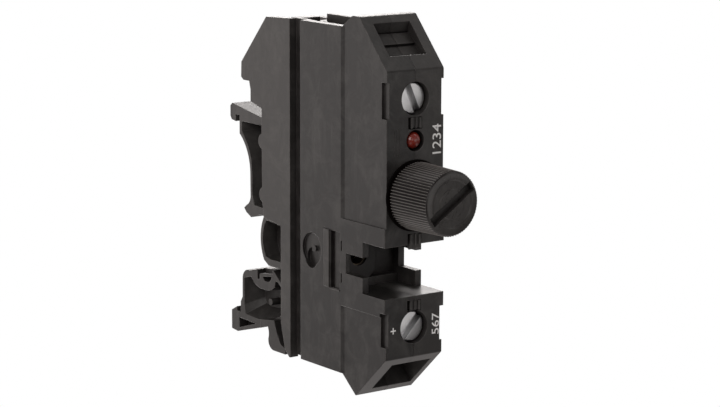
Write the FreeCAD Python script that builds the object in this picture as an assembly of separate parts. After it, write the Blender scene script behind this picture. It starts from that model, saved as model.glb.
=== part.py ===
"""Rail-mounted fuse terminal block for a 5 x 20 mm glass fuse, 12 mm wide.

Two moulded half shells meet at the middle plane and hold a screw-cap fuse
holder, two screw clamps, two busbars, a blown-fuse lamp and a snap foot for a
35 mm mounting rail.  Millimetres.  X runs along the rail, Y from the front face
towards the rail, Z up.  The origin is the middle of the rail's front face.

Side outlines are lists of (depth, height): depth from the front face, height
above the lowest tip of the moulding.  "width" always means distance along X.
"""
import FreeCAD, Part
import math
import os
from FreeCAD import Vector

os.makedirs("parts", exist_ok=True)

# ---- rail ------------------------------------------------------------------
RAIL_HEIGHT = 35.0              # across both lips of the mounting rail
RAIL_LIP = 1.0                  # sheet thickness of a lip
LIP_CLEARANCE = 0.1             # play of a lip in its slot
SEAT_DEPTH = 45.1               # front face of the block to the rail's front face
RAIL_LOWER_EDGE = 7.1           # height of the lower lip's edge above the lowest tip

# ---- housing ---------------------------------------------------------------
BLOCK_WIDTH = 12.0
SIDE_STEP = 0.3                 # side faces stand back above and below the belt
SIDE_WALL = 1.6
FIT = 0.05                      # small clearance of pieces laid in the shells
MODULE_DEPTH = 12.1             # front module
TOP_RISE = 12.8                 # top above the upper clamp screw
SLOPE_DROP = 8.2                # foot of the front slope below the top
PANEL_DROP = 1.9                # top of the side panels below the top
REAR_DROP = 2.8                 # top of the far rear plate below the top
TOP_SLOPE_DEPTH = 7.55
TOP_FLAT_END = 9.35
BOTTOM_SLOPE_DEPTH = 8.2
BOTTOM_SLOPE_HEAD = 7.55
PANEL_BOTTOM = 3.1
PANEL_RAMP = 0.7                # length of the soft step from the module to the panel
BELT_TOP = 29.25
BELT_BOTTOM = 14.6
GROOVE_FRONT = 23.7
GROOVE_REAR = 26.8
GROOVE_SINK = 1.4
REAR_WALL = 1.8                 # cross wall behind the groove
BRACE_REAR = 34.0               # braces between the hooks' web and the rear plates
BRACE_BOTTOM = 26.5
BRACE_TOP = 42.0
FOOT_WIDTH = 8.2                # hooks and webs between the rear plates
FOOT_POCKET_SINK = 3.3          # hollows in both sides of the foot
HOOK_TIP = 48.0                 # depth of the hook tips, behind the rail's lips
DIAL_PLACE = (20.35, 22.75)     # depth and height of the mould dial's middle
DIAL_RADIUS = 2.75
DIAL_SINK = 0.45
TOP_POCKET_SINK = 6.0           # pocket for a marker carrier between the side panels
TOP_POCKET_GAP = 1.2            # wall between the front module and the pocket
TOP_POCKET_NECK = 3.9           # half width of the pocket between the grooves

# ---- bridge channel between the two front modules ----------------------------
CHANNEL_BOTTOM = 17.65
CHANNEL_TOP = 26.15
CHANNEL_STEP_DEPTH = 6.0
CHANNEL_REAR = 10.65
CHANNEL_NECK_BOTTOM = 20.2
CHANNEL_NECK_TOP = 23.6
CHANNEL_WALL = 1.2

# ---- screw clamps ------------------------------------------------------------
UPPER_CLAMP_RISE = 6.8          # upper clamp screw above the lamp
LOWER_CLAMP_HEIGHT = 12.45
SCREW_SLOT_ANGLE = {"upper": 114.0, "lower": 47.0}
SCREW_HOLE_RADIUS = 2.75
HEAD_RADIUS = 2.6
HEAD_FRONT = 0.9
HEAD_THICKNESS = 1.8
SHANK_RADIUS = 1.95
THREAD_CLEARANCE = 0.05
SCREW_SLOT_WIDTH = 1.2
SCREW_SLOT_SINK = 1.0
SLEEVE_WIDTH = 8.4
SLEEVE_HEIGHT = 6.0
SLEEVE_SIDE = 0.9
SLEEVE_PLATE = 1.2
SLEEVE_TRAVEL = 2.0
SLEEVE_STOP = 0.3               # left between sleeve and screw head when tight
SLEEVE_PLAY = 0.15
WIRE_SPACE = 4.3                # behind the busbar with the clamp open
BUSBAR_THICKNESS = 1.0
BUSBAR_WIDTH = 5.0
BUSBAR_GAP = 0.1                # slot walls around a busbar

# ---- fuse holder ---------------------------------------------------------------
FUSE_AXIS = 34.2                # height of the holder's axis
FUSE_LENGTH = 20.0
FUSE_FRONT = -2.0
GLASS_RADIUS = 2.45
GLASS_WALL = 0.45
END_CAP_RADIUS = 2.6
END_CAP_LENGTH = 5.4
END_CAP_FLOOR = 0.3
FUSE_WIRE_RADIUS = 0.12
GRIP_CLEARANCE = 0.05
CAP_FRONT = -9.75
CAP_FRONT_RADIUS = 5.3          # the knurled skirt tapers towards the front
CAP_SKIRT_RADIUS = 5.55
CAP_SKIRT_END = -0.7
CAP_RIM_LENGTH = 0.3
CAP_RIM_STEP = 0.35
CAP_NECK_RADIUS = 4.9
CAP_BASE = 1.1
KNURL_COUNT = 68
KNURL_SINK = 0.2
CAP_SLOT_WIDTH = 1.25
CAP_SLOT_LENGTH = 9.4
CAP_SLOT_SINK = 0.9
CAP_SLOT_ANGLE = 33.5
CAP_DISH_RADII = (3.8, 2.3)     # shallow steps of the cap's face
CAP_DISH_STEP = 0.1
RECESS_RADIUS = 5.15
RECESS_SINK = 1.3
CLIP_WALL = 0.45                # metal clip inside the cap
CLIP_FLOOR = 1.0                # room for the spring in front of the fuse
THREAD_RADIUS = 4.3
THREAD_WALL = 0.5
THREAD_END = 7.0
CARRIER_END = 9.0
RING_WALL = 0.5
RING_FRONT = 1.6
PLUNGER_RADIUS = 3.2
PLUNGER_LIP = 1.5
PLUNGER_FLOOR = 0.6
PLUNGER_STEM_RADIUS = 0.9
PLUNGER_STEM = 1.2
REAR_CHAMBER_RADIUS = 4.2
REAR_SPRING_ROOM = 3.1          # from the fuse to the busbar behind it
SPRING_WIRE_RADIUS = 0.2
SPRING_RADIUS = 1.9
SPRING_TURNS = 2.5
COIL_STEPS = 14                 # straight runs in each turn of a coil

# ---- lamp ------------------------------------------------------------------------
LAMP_RISE = 8.9                 # lamp above the fuse's axis
LAMP_RADIUS = 1.5
LAMP_CLEARANCE = 0.25
LAMP_NOSE = 0.5
LAMP_LENGTH = 4.2
LAMP_FLANGE = 0.4
DOME_STEPS = 5
LEAD_RADIUS = 0.25
LEAD_LAP = 0.15
LEAD_SPACING = 1.27
LEAD_LANE = 3.2                 # x of the lead that runs back to the rear busbar
RESISTOR_RADIUS = 0.9
RESISTOR_LENGTH = 5.0
RESISTOR_FRONT = 10.5
LAMP_ROOM_DROP = 3.1            # floor of the lamp's room below its axis
LAMP_ROOM_LIFT = 1.9
LEAD_LANDING = 3.0              # end of the resistor's lead above the fuse's axis
LEAD_STEP = 2.0

# ---- bridge bush -------------------------------------------------------------------
BRIDGE_X = -3.3
BRIDGE_RISE = 1.0               # bore above the channel's middle
BRIDGE_BLOCK_LEFT = -5.3
BRIDGE_BLOCK_RIGHT = 0.0
BRIDGE_BLOCK_DROP = 3.9         # foot of the block below the bore
BRIDGE_BLOCK_LIFT = 3.1
BRIDGE_CHAMFER = 1.3
BRIDGE_BORE_RADIUS = 1.5
BRIDGE_NUT_WALL = 0.4
BRIDGE_NUT_SINK = 0.5
BRIDGE_BLOCK_REAR = 12.8
BRIDGE_EAR_HEIGHT = 4.6
BRIDGE_SCREW_ROOM = 3.0         # behind the busbar's ear
CHANNEL_VOID_REAR = 12.2

# ---- snap foot ---------------------------------------------------------------------
PIVOT_DEPTH = 27.6
PIVOT_HEIGHT = 4.4
PIVOT_RADIUS = 0.9
PIVOT_CLEARANCE = 0.06
PIVOT_NECK = 2.0                # from the bead's middle to the leg
LEG_WIDTH = 11.4

LAMP_HEIGHT = FUSE_AXIS + LAMP_RISE
LAMP_ROOM_BOTTOM = LAMP_HEIGHT - LAMP_ROOM_DROP
LAMP_ROOM_TOP = LAMP_HEIGHT + LAMP_ROOM_LIFT
CLAMP_HEIGHTS = {"upper": LAMP_HEIGHT + UPPER_CLAMP_RISE, "lower": LOWER_CLAMP_HEIGHT}
TOP_HEIGHT = CLAMP_HEIGHTS["upper"] + TOP_RISE
TOP_SLOPE_FOOT = TOP_HEIGHT - SLOPE_DROP
PANEL_TOP = TOP_HEIGHT - PANEL_DROP
REAR_TOP_FAR = TOP_HEIGHT - REAR_DROP
HALF = BLOCK_WIDTH / 2
FOOT_HALF = FOOT_WIDTH / 2
INNER = HALF - SIDE_WALL
FRONT_Y = -SEAT_DEPTH
FLOOR_Z = -RAIL_LOWER_EDGE - RAIL_HEIGHT / 2
RAIL_UPPER_EDGE = RAIL_LOWER_EDGE + RAIL_HEIGHT
LIP_SLOT = RAIL_LIP + 2 * LIP_CLEARANCE
HEAD_REAR = HEAD_FRONT + HEAD_THICKNESS
SLEEVE_FRONT = HEAD_REAR + SLEEVE_STOP + SLEEVE_TRAVEL
BUSBAR_FRONT = SLEEVE_FRONT + SLEEVE_PLATE + 1.2
BUSBAR_REAR = BUSBAR_FRONT + BUSBAR_THICKNESS
SLEEVE_REAR = BUSBAR_REAR + WIRE_SPACE + SLEEVE_PLATE
BRIDGE_SEAT_RADIUS = BRIDGE_BORE_RADIUS + BRIDGE_NUT_WALL + FIT
BRIDGE_HEIGHT = (CHANNEL_BOTTOM + CHANNEL_TOP) / 2 + BRIDGE_RISE
BRIDGE_BLOCK_LOW = BRIDGE_HEIGHT - BRIDGE_BLOCK_DROP
BRIDGE_BLOCK_HIGH = BRIDGE_HEIGHT + BRIDGE_BLOCK_LIFT
FUSE_REAR = FUSE_FRONT + FUSE_LENGTH
REAR_CONTACT_DEPTH = FUSE_REAR + REAR_SPRING_ROOM
RING_INNER = THREAD_RADIUS + THREAD_CLEARANCE
RING_OUTER = RING_INNER + RING_WALL
WELL_RADIUS = RING_OUTER + FIT


# ---- drawing helpers ---------------------------------------------------------
def at(depth, height, x=0.0):
    """Point given by depth behind the front face and height above the lowest tip."""
    return Vector(x, FRONT_Y + depth, FLOOR_Z + height)


def side_wire(outline, x):
    """Closed wire of a side outline.

    A step of the outline is a point (depth, height), or a pair of points that
    an arc passes through and ends at.
    """
    start = at(*outline[0], x)
    here = start
    edges = []
    for step in outline[1:]:
        if isinstance(step[0], tuple):
            middle, end = at(*step[0], x), at(*step[1], x)
            edges.append(Part.Arc(here, middle, end).toShape())
        else:
            end = at(*step, x)
            edges.append(Part.makeLine(here, end))
        here = end
    edges.append(Part.makeLine(here, start))
    return Part.Wire(edges)


def plate(outline, x_low, x_high):
    """Extrude a side outline along X."""
    face = Part.Face(side_wire(outline, x_low))
    return face.extrude(Vector(x_high - x_low, 0, 0))


def sloped_pocket(rim, floor, x_rim, x_floor):
    """Pocket between a rim and a smaller floor outline of as many steps."""
    return Part.makeLoft([side_wire(rim, x_rim), side_wire(floor, x_floor)], True, True)


def rounded(corners):
    """Outline of corners (depth, height, radius), with an arc where the radius isn't 0."""
    steps = []
    for index, (depth, height, radius) in enumerate(corners):
        if not radius:
            steps.append((depth, height))
            continue
        before, after = corners[index - 1], corners[(index + 1) % len(corners)]
        corner = Vector(depth, height, 0)
        before, after = (Vector(*point[:2], 0) for point in (before, after))
        back, ahead = (before - corner).normalize(), (after - corner).normalize()
        half_angle = back.getAngle(ahead) / 2
        start = corner + back * (radius / math.tan(half_angle))
        end = corner + ahead * (radius / math.tan(half_angle))
        reach = radius / math.sin(half_angle) - radius
        middle = corner + (back + ahead).normalize() * reach
        steps += [(start.x, start.y), ((middle.x, middle.y), (end.x, end.y))]
    return steps


def both_sides(shape):
    """A shape and its mirror image across the middle plane."""
    return [shape, shape.mirror(Vector(0, 0, 0), Vector(1, 0, 0))]


def block(x_low, x_high, depth_low, depth_high, height_low, height_high):
    size = (x_high - x_low, depth_high - depth_low, height_high - height_low)
    return Part.makeBox(*size, at(depth_low, height_low, x_low))


def rod(radius, depth_low, depth_high, height, x=0.0):
    """Cylinder along Y."""
    length = depth_high - depth_low
    return Part.makeCylinder(radius, length, at(depth_low, height, x), Vector(0, 1, 0))


def turned(profile, height, x=0.0):
    """Solid of revolution about a Y axis from (depth, radius) points."""
    points = [at(depth, height + radius, x) for depth, radius in profile]
    face = Part.Face(Part.makePolygon(points + points[:1]))
    return face.revolve(at(0, height, x), Vector(0, 1, 0), 360)


def joined(shapes):
    first, rest = shapes[0], shapes[1:]
    return first.multiFuse(rest).removeSplitter() if rest else first


def about_y(shape, height, angle):
    """Turn a shape about the Y axis at a height."""
    turned_copy = shape.copy()
    turned_copy.rotate(at(0, height), Vector(0, 1, 0), -angle)
    return turned_copy


def export(name, shape):
    shape.exportStep("parts/" + name + ".step")


# ---- half shells ---------------------------------------------------------------
def slope_point(depth, sink):
    """Point a given sink below the top slope's surface."""
    rise = TOP_HEIGHT - TOP_SLOPE_FOOT
    length = math.hypot(TOP_SLOPE_DEPTH, rise)
    height = TOP_SLOPE_FOOT + depth * rise / TOP_SLOPE_DEPTH
    return (depth + sink * rise / length, height - sink * TOP_SLOPE_DEPTH / length)


def louvre_recess():
    """Recess in the top slope whose floor is three overlapping slats."""
    top, bottom = 6.5, 2.0
    notches = [5.7, 3.9, 2.3]
    deep, proud, notch_sink, notch_width = 1.5, 1.15, 1.8, 0.2
    floor = [slope_point(top, -0.5), slope_point(top, 0.0), slope_point(notches[0] + notch_width, deep)]
    for here, lower in zip(notches, notches[1:] + [bottom]):
        floor.append(slope_point(here + notch_width, notch_sink))
        floor.append(slope_point(here, notch_sink))
        floor.append(slope_point(here, deep if lower != bottom else proud))
        if lower != bottom:
            floor.append(slope_point(lower + notch_width, proud))
    floor += [slope_point(bottom, 0.0), slope_point(bottom, -0.5)]
    return plate(floor, -3.7, 3.7)


def wire_funnel():
    """Funnel from the mouth in the bottom slope up to the lower clamp."""
    mouth_front, mouth_rear = 1.3, 7.05
    mouth_left, mouth_right = -3.3, 4.75
    outside = 0.4
    rise = BOTTOM_SLOPE_HEAD / BOTTOM_SLOPE_DEPTH
    clamp_floor = CLAMP_HEIGHTS["lower"] - SLEEVE_HEIGHT / 2
    front = at(mouth_front - outside, BOTTOM_SLOPE_HEAD - mouth_front * rise - outside)
    rear = at(mouth_rear - outside, BOTTOM_SLOPE_HEAD - mouth_rear * rise - outside)
    end_front = at(BUSBAR_REAR, clamp_floor)
    end_rear = at(BUSBAR_REAR + WIRE_SPACE, clamp_floor)
    end_half = SLEEVE_WIDTH / 2 - SLEEVE_SIDE

    def ring(front_point, rear_point, left, right):
        left, right = Vector(left, 0, 0), Vector(right, 0, 0)
        corners = [front_point + left, front_point + right, rear_point + right, rear_point + left]
        return Part.makePolygon(corners + corners[:1])

    rings = [ring(front, rear, mouth_left, mouth_right), ring(end_front, end_rear, -end_half, end_half)]
    return Part.makeLoft(rings, True, True)


def clamp_room(which):
    """Room for one clamp sleeve, with its screw hole."""
    height = CLAMP_HEIGHTS[which]
    half_width = SLEEVE_WIDTH / 2 + SLEEVE_PLAY
    half_height = SLEEVE_HEIGHT / 2 + 0.25
    room = block(-half_width, half_width, HEAD_REAR, SLEEVE_REAR + 0.25,
                 height - half_height, height + half_height)
    return joined([room, rod(SCREW_HOLE_RADIUS, -1, HEAD_REAR + 1, height)])


def strip_outline(path, thickness):
    """Closed outline of a bent strip: both offsets of its centre line, mitred."""
    def corner(index, side):
        here = path[index]
        before = path[max(index - 1, 0)]
        after = path[min(index + 1, len(path) - 1)]
        directions = []
        for start, end in ((before, here), (here, after)):
            length = math.hypot(end[0] - start[0], end[1] - start[1])
            if length:
                directions.append(((end[0] - start[0]) / length, (end[1] - start[1]) / length))
        normals = [(-d[1] * side, d[0] * side) for d in directions]
        mean = (sum(n[0] for n in normals), sum(n[1] for n in normals))
        scale = thickness / 2 * len(normals) / (mean[0] ** 2 + mean[1] ** 2)
        return (here[0] + mean[0] * scale, here[1] + mean[1] * scale)

    indices = range(len(path))
    return [corner(i, 1) for i in indices] + [corner(i, -1) for i in reversed(indices)]


BUSBAR_MIDDLE = BUSBAR_FRONT + BUSBAR_THICKNESS / 2
LOWER_BUSBAR_JOG = CHANNEL_BOTTOM - 1.45
LOWER_BUSBAR_LANE = BRIDGE_BLOCK_REAR + BUSBAR_THICKNESS / 2
LOWER_BUSBAR_PATH = [
    (BUSBAR_MIDDLE, CLAMP_HEIGHTS["lower"] - SLEEVE_HEIGHT / 2),
    (BUSBAR_MIDDLE, LOWER_BUSBAR_JOG),
    (LOWER_BUSBAR_LANE, LOWER_BUSBAR_JOG),
    (LOWER_BUSBAR_LANE, FUSE_AXIS - WELL_RADIUS - 2.2),
    (REAR_CONTACT_DEPTH + BUSBAR_THICKNESS / 2, FUSE_AXIS - WELL_RADIUS - 2.2),
    (REAR_CONTACT_DEPTH + BUSBAR_THICKNESS / 2, FUSE_AXIS + LEAD_LANDING),
]


def holder_room():
    """Bore for the fuse holder, with the shallow recess around the cap."""
    return joined([
        rod(RECESS_RADIUS, -1, RECESS_SINK, FUSE_AXIS),
        rod(WELL_RADIUS, RECESS_SINK - 0.1, BUSBAR_REAR + FIT, FUSE_AXIS),
        rod(REAR_CHAMBER_RADIUS, BUSBAR_REAR, REAR_CONTACT_DEPTH, FUSE_AXIS),
    ])


def busbar_slots():
    """Slots that hold the busbars between the shells."""
    half = BUSBAR_WIDTH / 2 + BUSBAR_GAP
    thickness = BUSBAR_THICKNESS + 2 * BUSBAR_GAP
    lower = plate(strip_outline(LOWER_BUSBAR_PATH, thickness), -half, half)
    upper = block(-half, half, BUSBAR_FRONT - BUSBAR_GAP, BUSBAR_REAR + BUSBAR_GAP,
                  FUSE_AXIS, CLAMP_HEIGHTS["upper"])
    return joined([lower, upper])


def lamp_room():
    """Hole for the lamp and the room behind it for leads and resistor."""
    hole = rod(LAMP_RADIUS + LAMP_CLEARANCE, -1, LAMP_LENGTH, LAMP_HEIGHT)
    room = block(-INNER + 0.4, INNER - 0.2, LAMP_LENGTH - 0.5, REAR_CONTACT_DEPTH + BUSBAR_THICKNESS,
                 LAMP_ROOM_BOTTOM, LAMP_ROOM_TOP)
    drop = block(BUSBAR_WIDTH / 2 - 1.0, LEAD_LANE + 0.5, REAR_CONTACT_DEPTH - 0.2,
                 REAR_CONTACT_DEPTH + BUSBAR_THICKNESS, FUSE_AXIS + 2.0, LAMP_ROOM_BOTTOM + 1)
    return joined([hole, room, drop])


def bridge_channel():
    """Stepped channel that a bridging bar passes through, and its wider inside."""
    inside = block(-HALF + CHANNEL_WALL, HALF - CHANNEL_WALL, -1, CHANNEL_REAR,
                   CHANNEL_BOTTOM, CHANNEL_TOP)
    wide = block(-HALF - 1, HALF + 1, -1, CHANNEL_STEP_DEPTH, CHANNEL_BOTTOM, CHANNEL_TOP)
    neck = block(-HALF - 1, HALF + 1, CHANNEL_STEP_DEPTH - 1, CHANNEL_REAR,
                 CHANNEL_NECK_BOTTOM, CHANNEL_NECK_TOP)
    seat = block(BRIDGE_BLOCK_LEFT, BRIDGE_BLOCK_RIGHT + FIT, CHANNEL_REAR - 1, BRIDGE_BLOCK_REAR,
                 BRIDGE_BLOCK_LOW, BRIDGE_BLOCK_HIGH)
    void = block(BRIDGE_BLOCK_RIGHT, HALF - CHANNEL_WALL, CHANNEL_REAR - 1, CHANNEL_VOID_REAR,
                 BRIDGE_BLOCK_LOW, BRIDGE_BLOCK_HIGH)
    ear = busbar_ear(BUSBAR_GAP)
    screw_room = rod(BRIDGE_BORE_RADIUS + 0.2, BRIDGE_BLOCK_REAR,
                     BRIDGE_BLOCK_REAR + BUSBAR_THICKNESS + BRIDGE_SCREW_ROOM, BRIDGE_HEIGHT, BRIDGE_X)
    return joined([inside, wide, neck, seat, void, ear, screw_room])


def busbar_ear(gap):
    """Ear of the lower busbar behind the bridge nut, with a gap all round."""
    half = BRIDGE_EAR_HEIGHT / 2
    left = BRIDGE_X - BRIDGE_SEAT_RADIUS + FIT
    return block(left - gap, -BUSBAR_WIDTH / 2 + 0.1, BRIDGE_BLOCK_REAR - gap,
                 BRIDGE_BLOCK_REAR + BUSBAR_THICKNESS + gap,
                 BRIDGE_HEIGHT - half - gap, BRIDGE_HEIGHT + half + gap)


MODULE_CORNERS = [              # depth, height and radius
    (0, BOTTOM_SLOPE_HEAD, 0.4), (0, TOP_SLOPE_FOOT, 0.7), (TOP_SLOPE_DEPTH, TOP_HEIGHT, 0.6),
    (TOP_FLAT_END, TOP_HEIGHT, 0.6), (MODULE_DEPTH, PANEL_TOP, 0), (MODULE_DEPTH, PANEL_BOTTOM, 0),
    (BOTTOM_SLOPE_DEPTH, 0, 0.2),
]

REAR_PLATE_OUTLINE = [
    (GROOVE_REAR, 2.7), (27.2, 2.7), (28.4, 3.75), (29.65, 8.2), (29.6, 25.1),
    (34.8, 25.85), (35.2, 28.5), ((36.15, 29.8), (35.25, 31.0)), (35.3, 37.7),
    ((36.35, 38.95), (35.35, 40.3)), (35.3, 44.65), (38.7, 45.5), (38.7, 47.6),
    (39.1, TOP_HEIGHT - 13.7), (40.9, TOP_HEIGHT - 13.7), (41.6, TOP_HEIGHT - 13.2),
    (41.5, TOP_HEIGHT - 10.6), (33.8, TOP_HEIGHT - 2.2), (GROOVE_REAR, PANEL_TOP),
]

FIXED_FOOT_OUTLINE = [
    (GROOVE_REAR, 44.6), (35.5, 42.15), (HOOK_TIP - 0.6, 44.1), (HOOK_TIP, 43.6),
    (HOOK_TIP, RAIL_UPPER_EDGE - 0.3), (HOOK_TIP - 0.4, RAIL_UPPER_EDGE - 0.9),
    (SEAT_DEPTH + LIP_SLOT, RAIL_UPPER_EDGE - 1.1),
    (SEAT_DEPTH + LIP_SLOT, RAIL_UPPER_EDGE + LIP_CLEARANCE),
    (SEAT_DEPTH, RAIL_UPPER_EDGE + LIP_CLEARANCE), (SEAT_DEPTH, 39.0),
    ((42.8, 36.3), (41.8, 32.6)), (41.75, 28.6), ((42.1, 27.3), (43.0, 26.6)),
    (43.8, 26.0), (43.1, 25.3), (41.6, 24.6), (38.9, 25.5), (37.6, 25.4),
    ((38.65, 21.3), (37.6, 17.7)), (36.2, 16.9), (GROOVE_REAR, 16.9),
]

LOOP_POCKET_OUTLINE = [
    (29.0, 24.6), (36.9, 24.8), ((38.0, 21.4), (37.1, 18.4)), (35.7, 18.1), (29.0, 18.1),
]

ARC_POCKET_RIM = [
    (34.0, 41.3), (44.4, 41.2), (44.4, 39.5), (42.6, 37.3), (41.5, 34.9), (41.2, 32.6),
    (41.2, 28.6), (40.6, 26.9), (34.0, 26.6),
]
ARC_POCKET_FLOOR = [
    (34.0, 41.0), (43.3, 40.9), (43.3, 39.7), (41.7, 37.5), (40.7, 35.0), (40.4, 32.6),
    (40.4, 28.8), (39.9, 27.4), (34.0, 27.1),
]


def shell_body():
    """Outer form of one shell, from the middle plane outwards along +X."""
    recessed = HALF - SIDE_STEP
    web = HALF - GROOVE_SINK
    belt = [(0, BELT_BOTTOM), (0, BELT_TOP), (MODULE_DEPTH, BELT_TOP), (MODULE_DEPTH, BELT_BOTTOM)]
    panel = [(MODULE_DEPTH, PANEL_BOTTOM), (MODULE_DEPTH, PANEL_TOP),
             (GROOVE_FRONT, PANEL_TOP), (GROOVE_FRONT, PANEL_BOTTOM)]
    solids = [
        plate(rounded(MODULE_CORNERS), 0, recessed),
        plate(belt, 0, HALF),
        plate(panel, 0, HALF),
        block(0, web, GROOVE_FRONT, GROOVE_REAR, PANEL_BOTTOM, PANEL_TOP),
        block(0, INNER, GROOVE_REAR, GROOVE_REAR + REAR_WALL, PANEL_BOTTOM, PANEL_TOP),
        plate(REAR_PLATE_OUTLINE, INNER, HALF),
        plate(FIXED_FOOT_OUTLINE, 0, FOOT_HALF),
        block(FOOT_HALF - 0.1, INNER, GROOVE_REAR, BRACE_REAR, BRACE_BOTTOM, BRACE_TOP),
    ]
    ramp_front, inside = MODULE_DEPTH - PANEL_RAMP, recessed - 0.1
    for low, high in ((PANEL_BOTTOM, BELT_BOTTOM), (BELT_TOP, PANEL_TOP)):
        ramp = [at(ramp_front, low, inside), at(ramp_front, low, recessed),
                at(MODULE_DEPTH, low, HALF), at(MODULE_DEPTH, low, inside)]
        solids.append(Part.Face(Part.makePolygon(ramp + ramp[:1])).extrude(Vector(0, 0, high - low)))
    return joined(solids)


def label_notches():
    """Notches on the front corners that hold label carriers."""
    sink, deep = 0.75, 1.35
    pairs = [(46.9, 52.8), (9.6, 15.3)]
    return [block(HALF - sink, HALF + 1, -1, deep, low, high) for low, high in pairs]


SNAP_SPANS = [(44.95, 46.95), (15.1, 16.95), (26.1, 28.0)]
SNAP_LEFT = -0.85
SNAP_RIGHT = 1.4
SNAP_SINK = 0.9
SNAP_PLAY = 0.06


def snap_windows():
    """Small windows of the snaps that hold the shells together."""
    return [block(SNAP_LEFT, SNAP_RIGHT, -1, SNAP_SINK, low, high) for low, high in SNAP_SPANS]


def snap_tongues():
    """Tongues of the right shell that lie in the windows of the left one."""
    front, rear = 0.12, SNAP_SINK - SNAP_PLAY
    tongues = []
    for low, high in SNAP_SPANS:
        foot = low + SNAP_PLAY if low < CHANNEL_BOTTOM or low > CHANNEL_TOP else low - 0.8
        outline = [(front, high - SNAP_PLAY), (front, foot + 0.3), ((0.5, foot), (rear, foot + 0.3)),
                   (rear, high - SNAP_PLAY)]
        tongues.append(plate(outline, SNAP_LEFT + SNAP_PLAY, SNAP_RIGHT - SNAP_PLAY))
        tongues.append(block(0.1, SNAP_RIGHT + 0.1, 0.4, SNAP_SINK + 0.1, low + 0.3, high - 0.4))
    return tongues


def foot_pockets():
    """Sloped pocket beside the fixed foot's arc, and the loop's hollow."""
    return [
        sloped_pocket(ARC_POCKET_RIM, ARC_POCKET_FLOOR, FOOT_HALF, FOOT_HALF - FOOT_POCKET_SINK),
        plate(LOOP_POCKET_OUTLINE, 1.0, FOOT_HALF + 0.2),
    ]


def pivot_socket():
    """Socket for the snap foot's bead and the mouth that its neck passes."""
    radius = PIVOT_RADIUS + PIVOT_CLEARANCE
    socket = Part.makeCylinder(radius, INNER, at(PIVOT_DEPTH, PIVOT_HEIGHT), Vector(1, 0, 0))
    mouth = block(0, INNER, PIVOT_DEPTH, PIVOT_DEPTH + PIVOT_NECK,
                  PIVOT_HEIGHT - 0.75, PIVOT_HEIGHT + 0.65)
    return joined([socket, mouth])


def left_side_marks():
    """Recesses in the outer face of the left shell: latch bracket and mould dial."""
    outside = HALF + 1
    latch = [block(HALF - 0.4, outside, 12.35, 14.3, 17.2, 26.8),
             block(HALF - 0.7, outside, 14.2, 14.95, 17.2, 26.8)]
    windows = [block(HALF - 1.2, outside, 11.75, BRIDGE_BLOCK_REAR - 0.2, low, low + 1.7)
               for low in (18.4, 23.8)]
    edge = block(HALF - 0.25, outside, 16.65, 16.9, 17.0, 27.0)
    depth, height = DIAL_PLACE
    dial = Part.makeCylinder(DIAL_RADIUS, 2, at(depth, height, HALF - DIAL_SINK), Vector(1, 0, 0))
    eye = Part.makeCylinder(DIAL_RADIUS - 1.0, 2, at(depth + 0.2, height - 1.55, HALF - 1.0), Vector(1, 0, 0))
    post = Part.makeCylinder(0.5, DIAL_SINK, at(depth - 0.65, height + 0.15, HALF - DIAL_SINK),
                             Vector(1, 0, 0))
    return latch + windows + [edge, dial, eye], post


TOP_POCKET_REAR = GROOVE_REAR - 0.4
PANEL_FRONT_WALL = GROOVE_FRONT - 0.6
REAR_END = HOOK_TIP + 1


def top_pocket(x_low, x_high, rear):
    """Pocket in the top between the side panels, back to a depth."""
    return block(x_low, x_high, MODULE_DEPTH + TOP_POCKET_GAP, rear,
                 PANEL_TOP - TOP_POCKET_SINK, PANEL_TOP + 2)


PEG_PLACES = [(19.0, 8.0), (25.2, 12.0), (25.2, 46.0), (31.5, 35.0), (10.5, 56.5)]
PEG_RADIUS = 0.8
PEG_LENGTH = 1.6


def pegs(radius, length, x_low):
    places = [at(depth, height, x_low) for depth, height in PEG_PLACES]
    return [Part.makeCylinder(radius, length, place, Vector(1, 0, 0)) for place in places]


def half_shell(side):
    """One moulded half shell: side is -1 for the left, +1 for the right."""
    rooms = [louvre_recess(), wire_funnel(), clamp_room("upper"), clamp_room("lower"),
             holder_room(), busbar_slots(), lamp_room(), bridge_channel()]
    if side < 0:
        rooms = [room.mirror(Vector(0, 0, 0), Vector(1, 0, 0)) for room in rooms]
    cuts = rooms + label_notches() + snap_windows() + foot_pockets() + [pivot_socket()]
    shell = shell_body()
    if side < 0:
        marks, post = left_side_marks()
        shell = shell.cut(cuts + marks + [top_pocket(-1, INNER, PANEL_FRONT_WALL),
                                          top_pocket(-1, TOP_POCKET_NECK, TOP_POCKET_REAR)])
        shell = joined([shell, post] + pegs(PEG_RADIUS, PEG_LENGTH, -PEG_LENGTH))
        return shell.mirror(Vector(0, 0, 0), Vector(1, 0, 0))
    rear_top = block(-1, HALF + 1, GROOVE_REAR - 1.2, REAR_END, REAR_TOP_FAR, TOP_HEIGHT + 1)
    ridge = block(0, 1.7, MODULE_DEPTH + 1, TOP_POCKET_REAR, PANEL_TOP - 1, PANEL_TOP + 0.5)
    sockets = pegs(PEG_RADIUS + FIT, PEG_LENGTH + FIT, 0)
    pockets = [top_pocket(-1, 0.8, TOP_POCKET_REAR), top_pocket(1.7, INNER, PANEL_FRONT_WALL)]
    shell = joined([shell, ridge]).cut(cuts + pockets + [rear_top] + sockets)
    return joined([shell] + snap_tongues())


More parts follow.
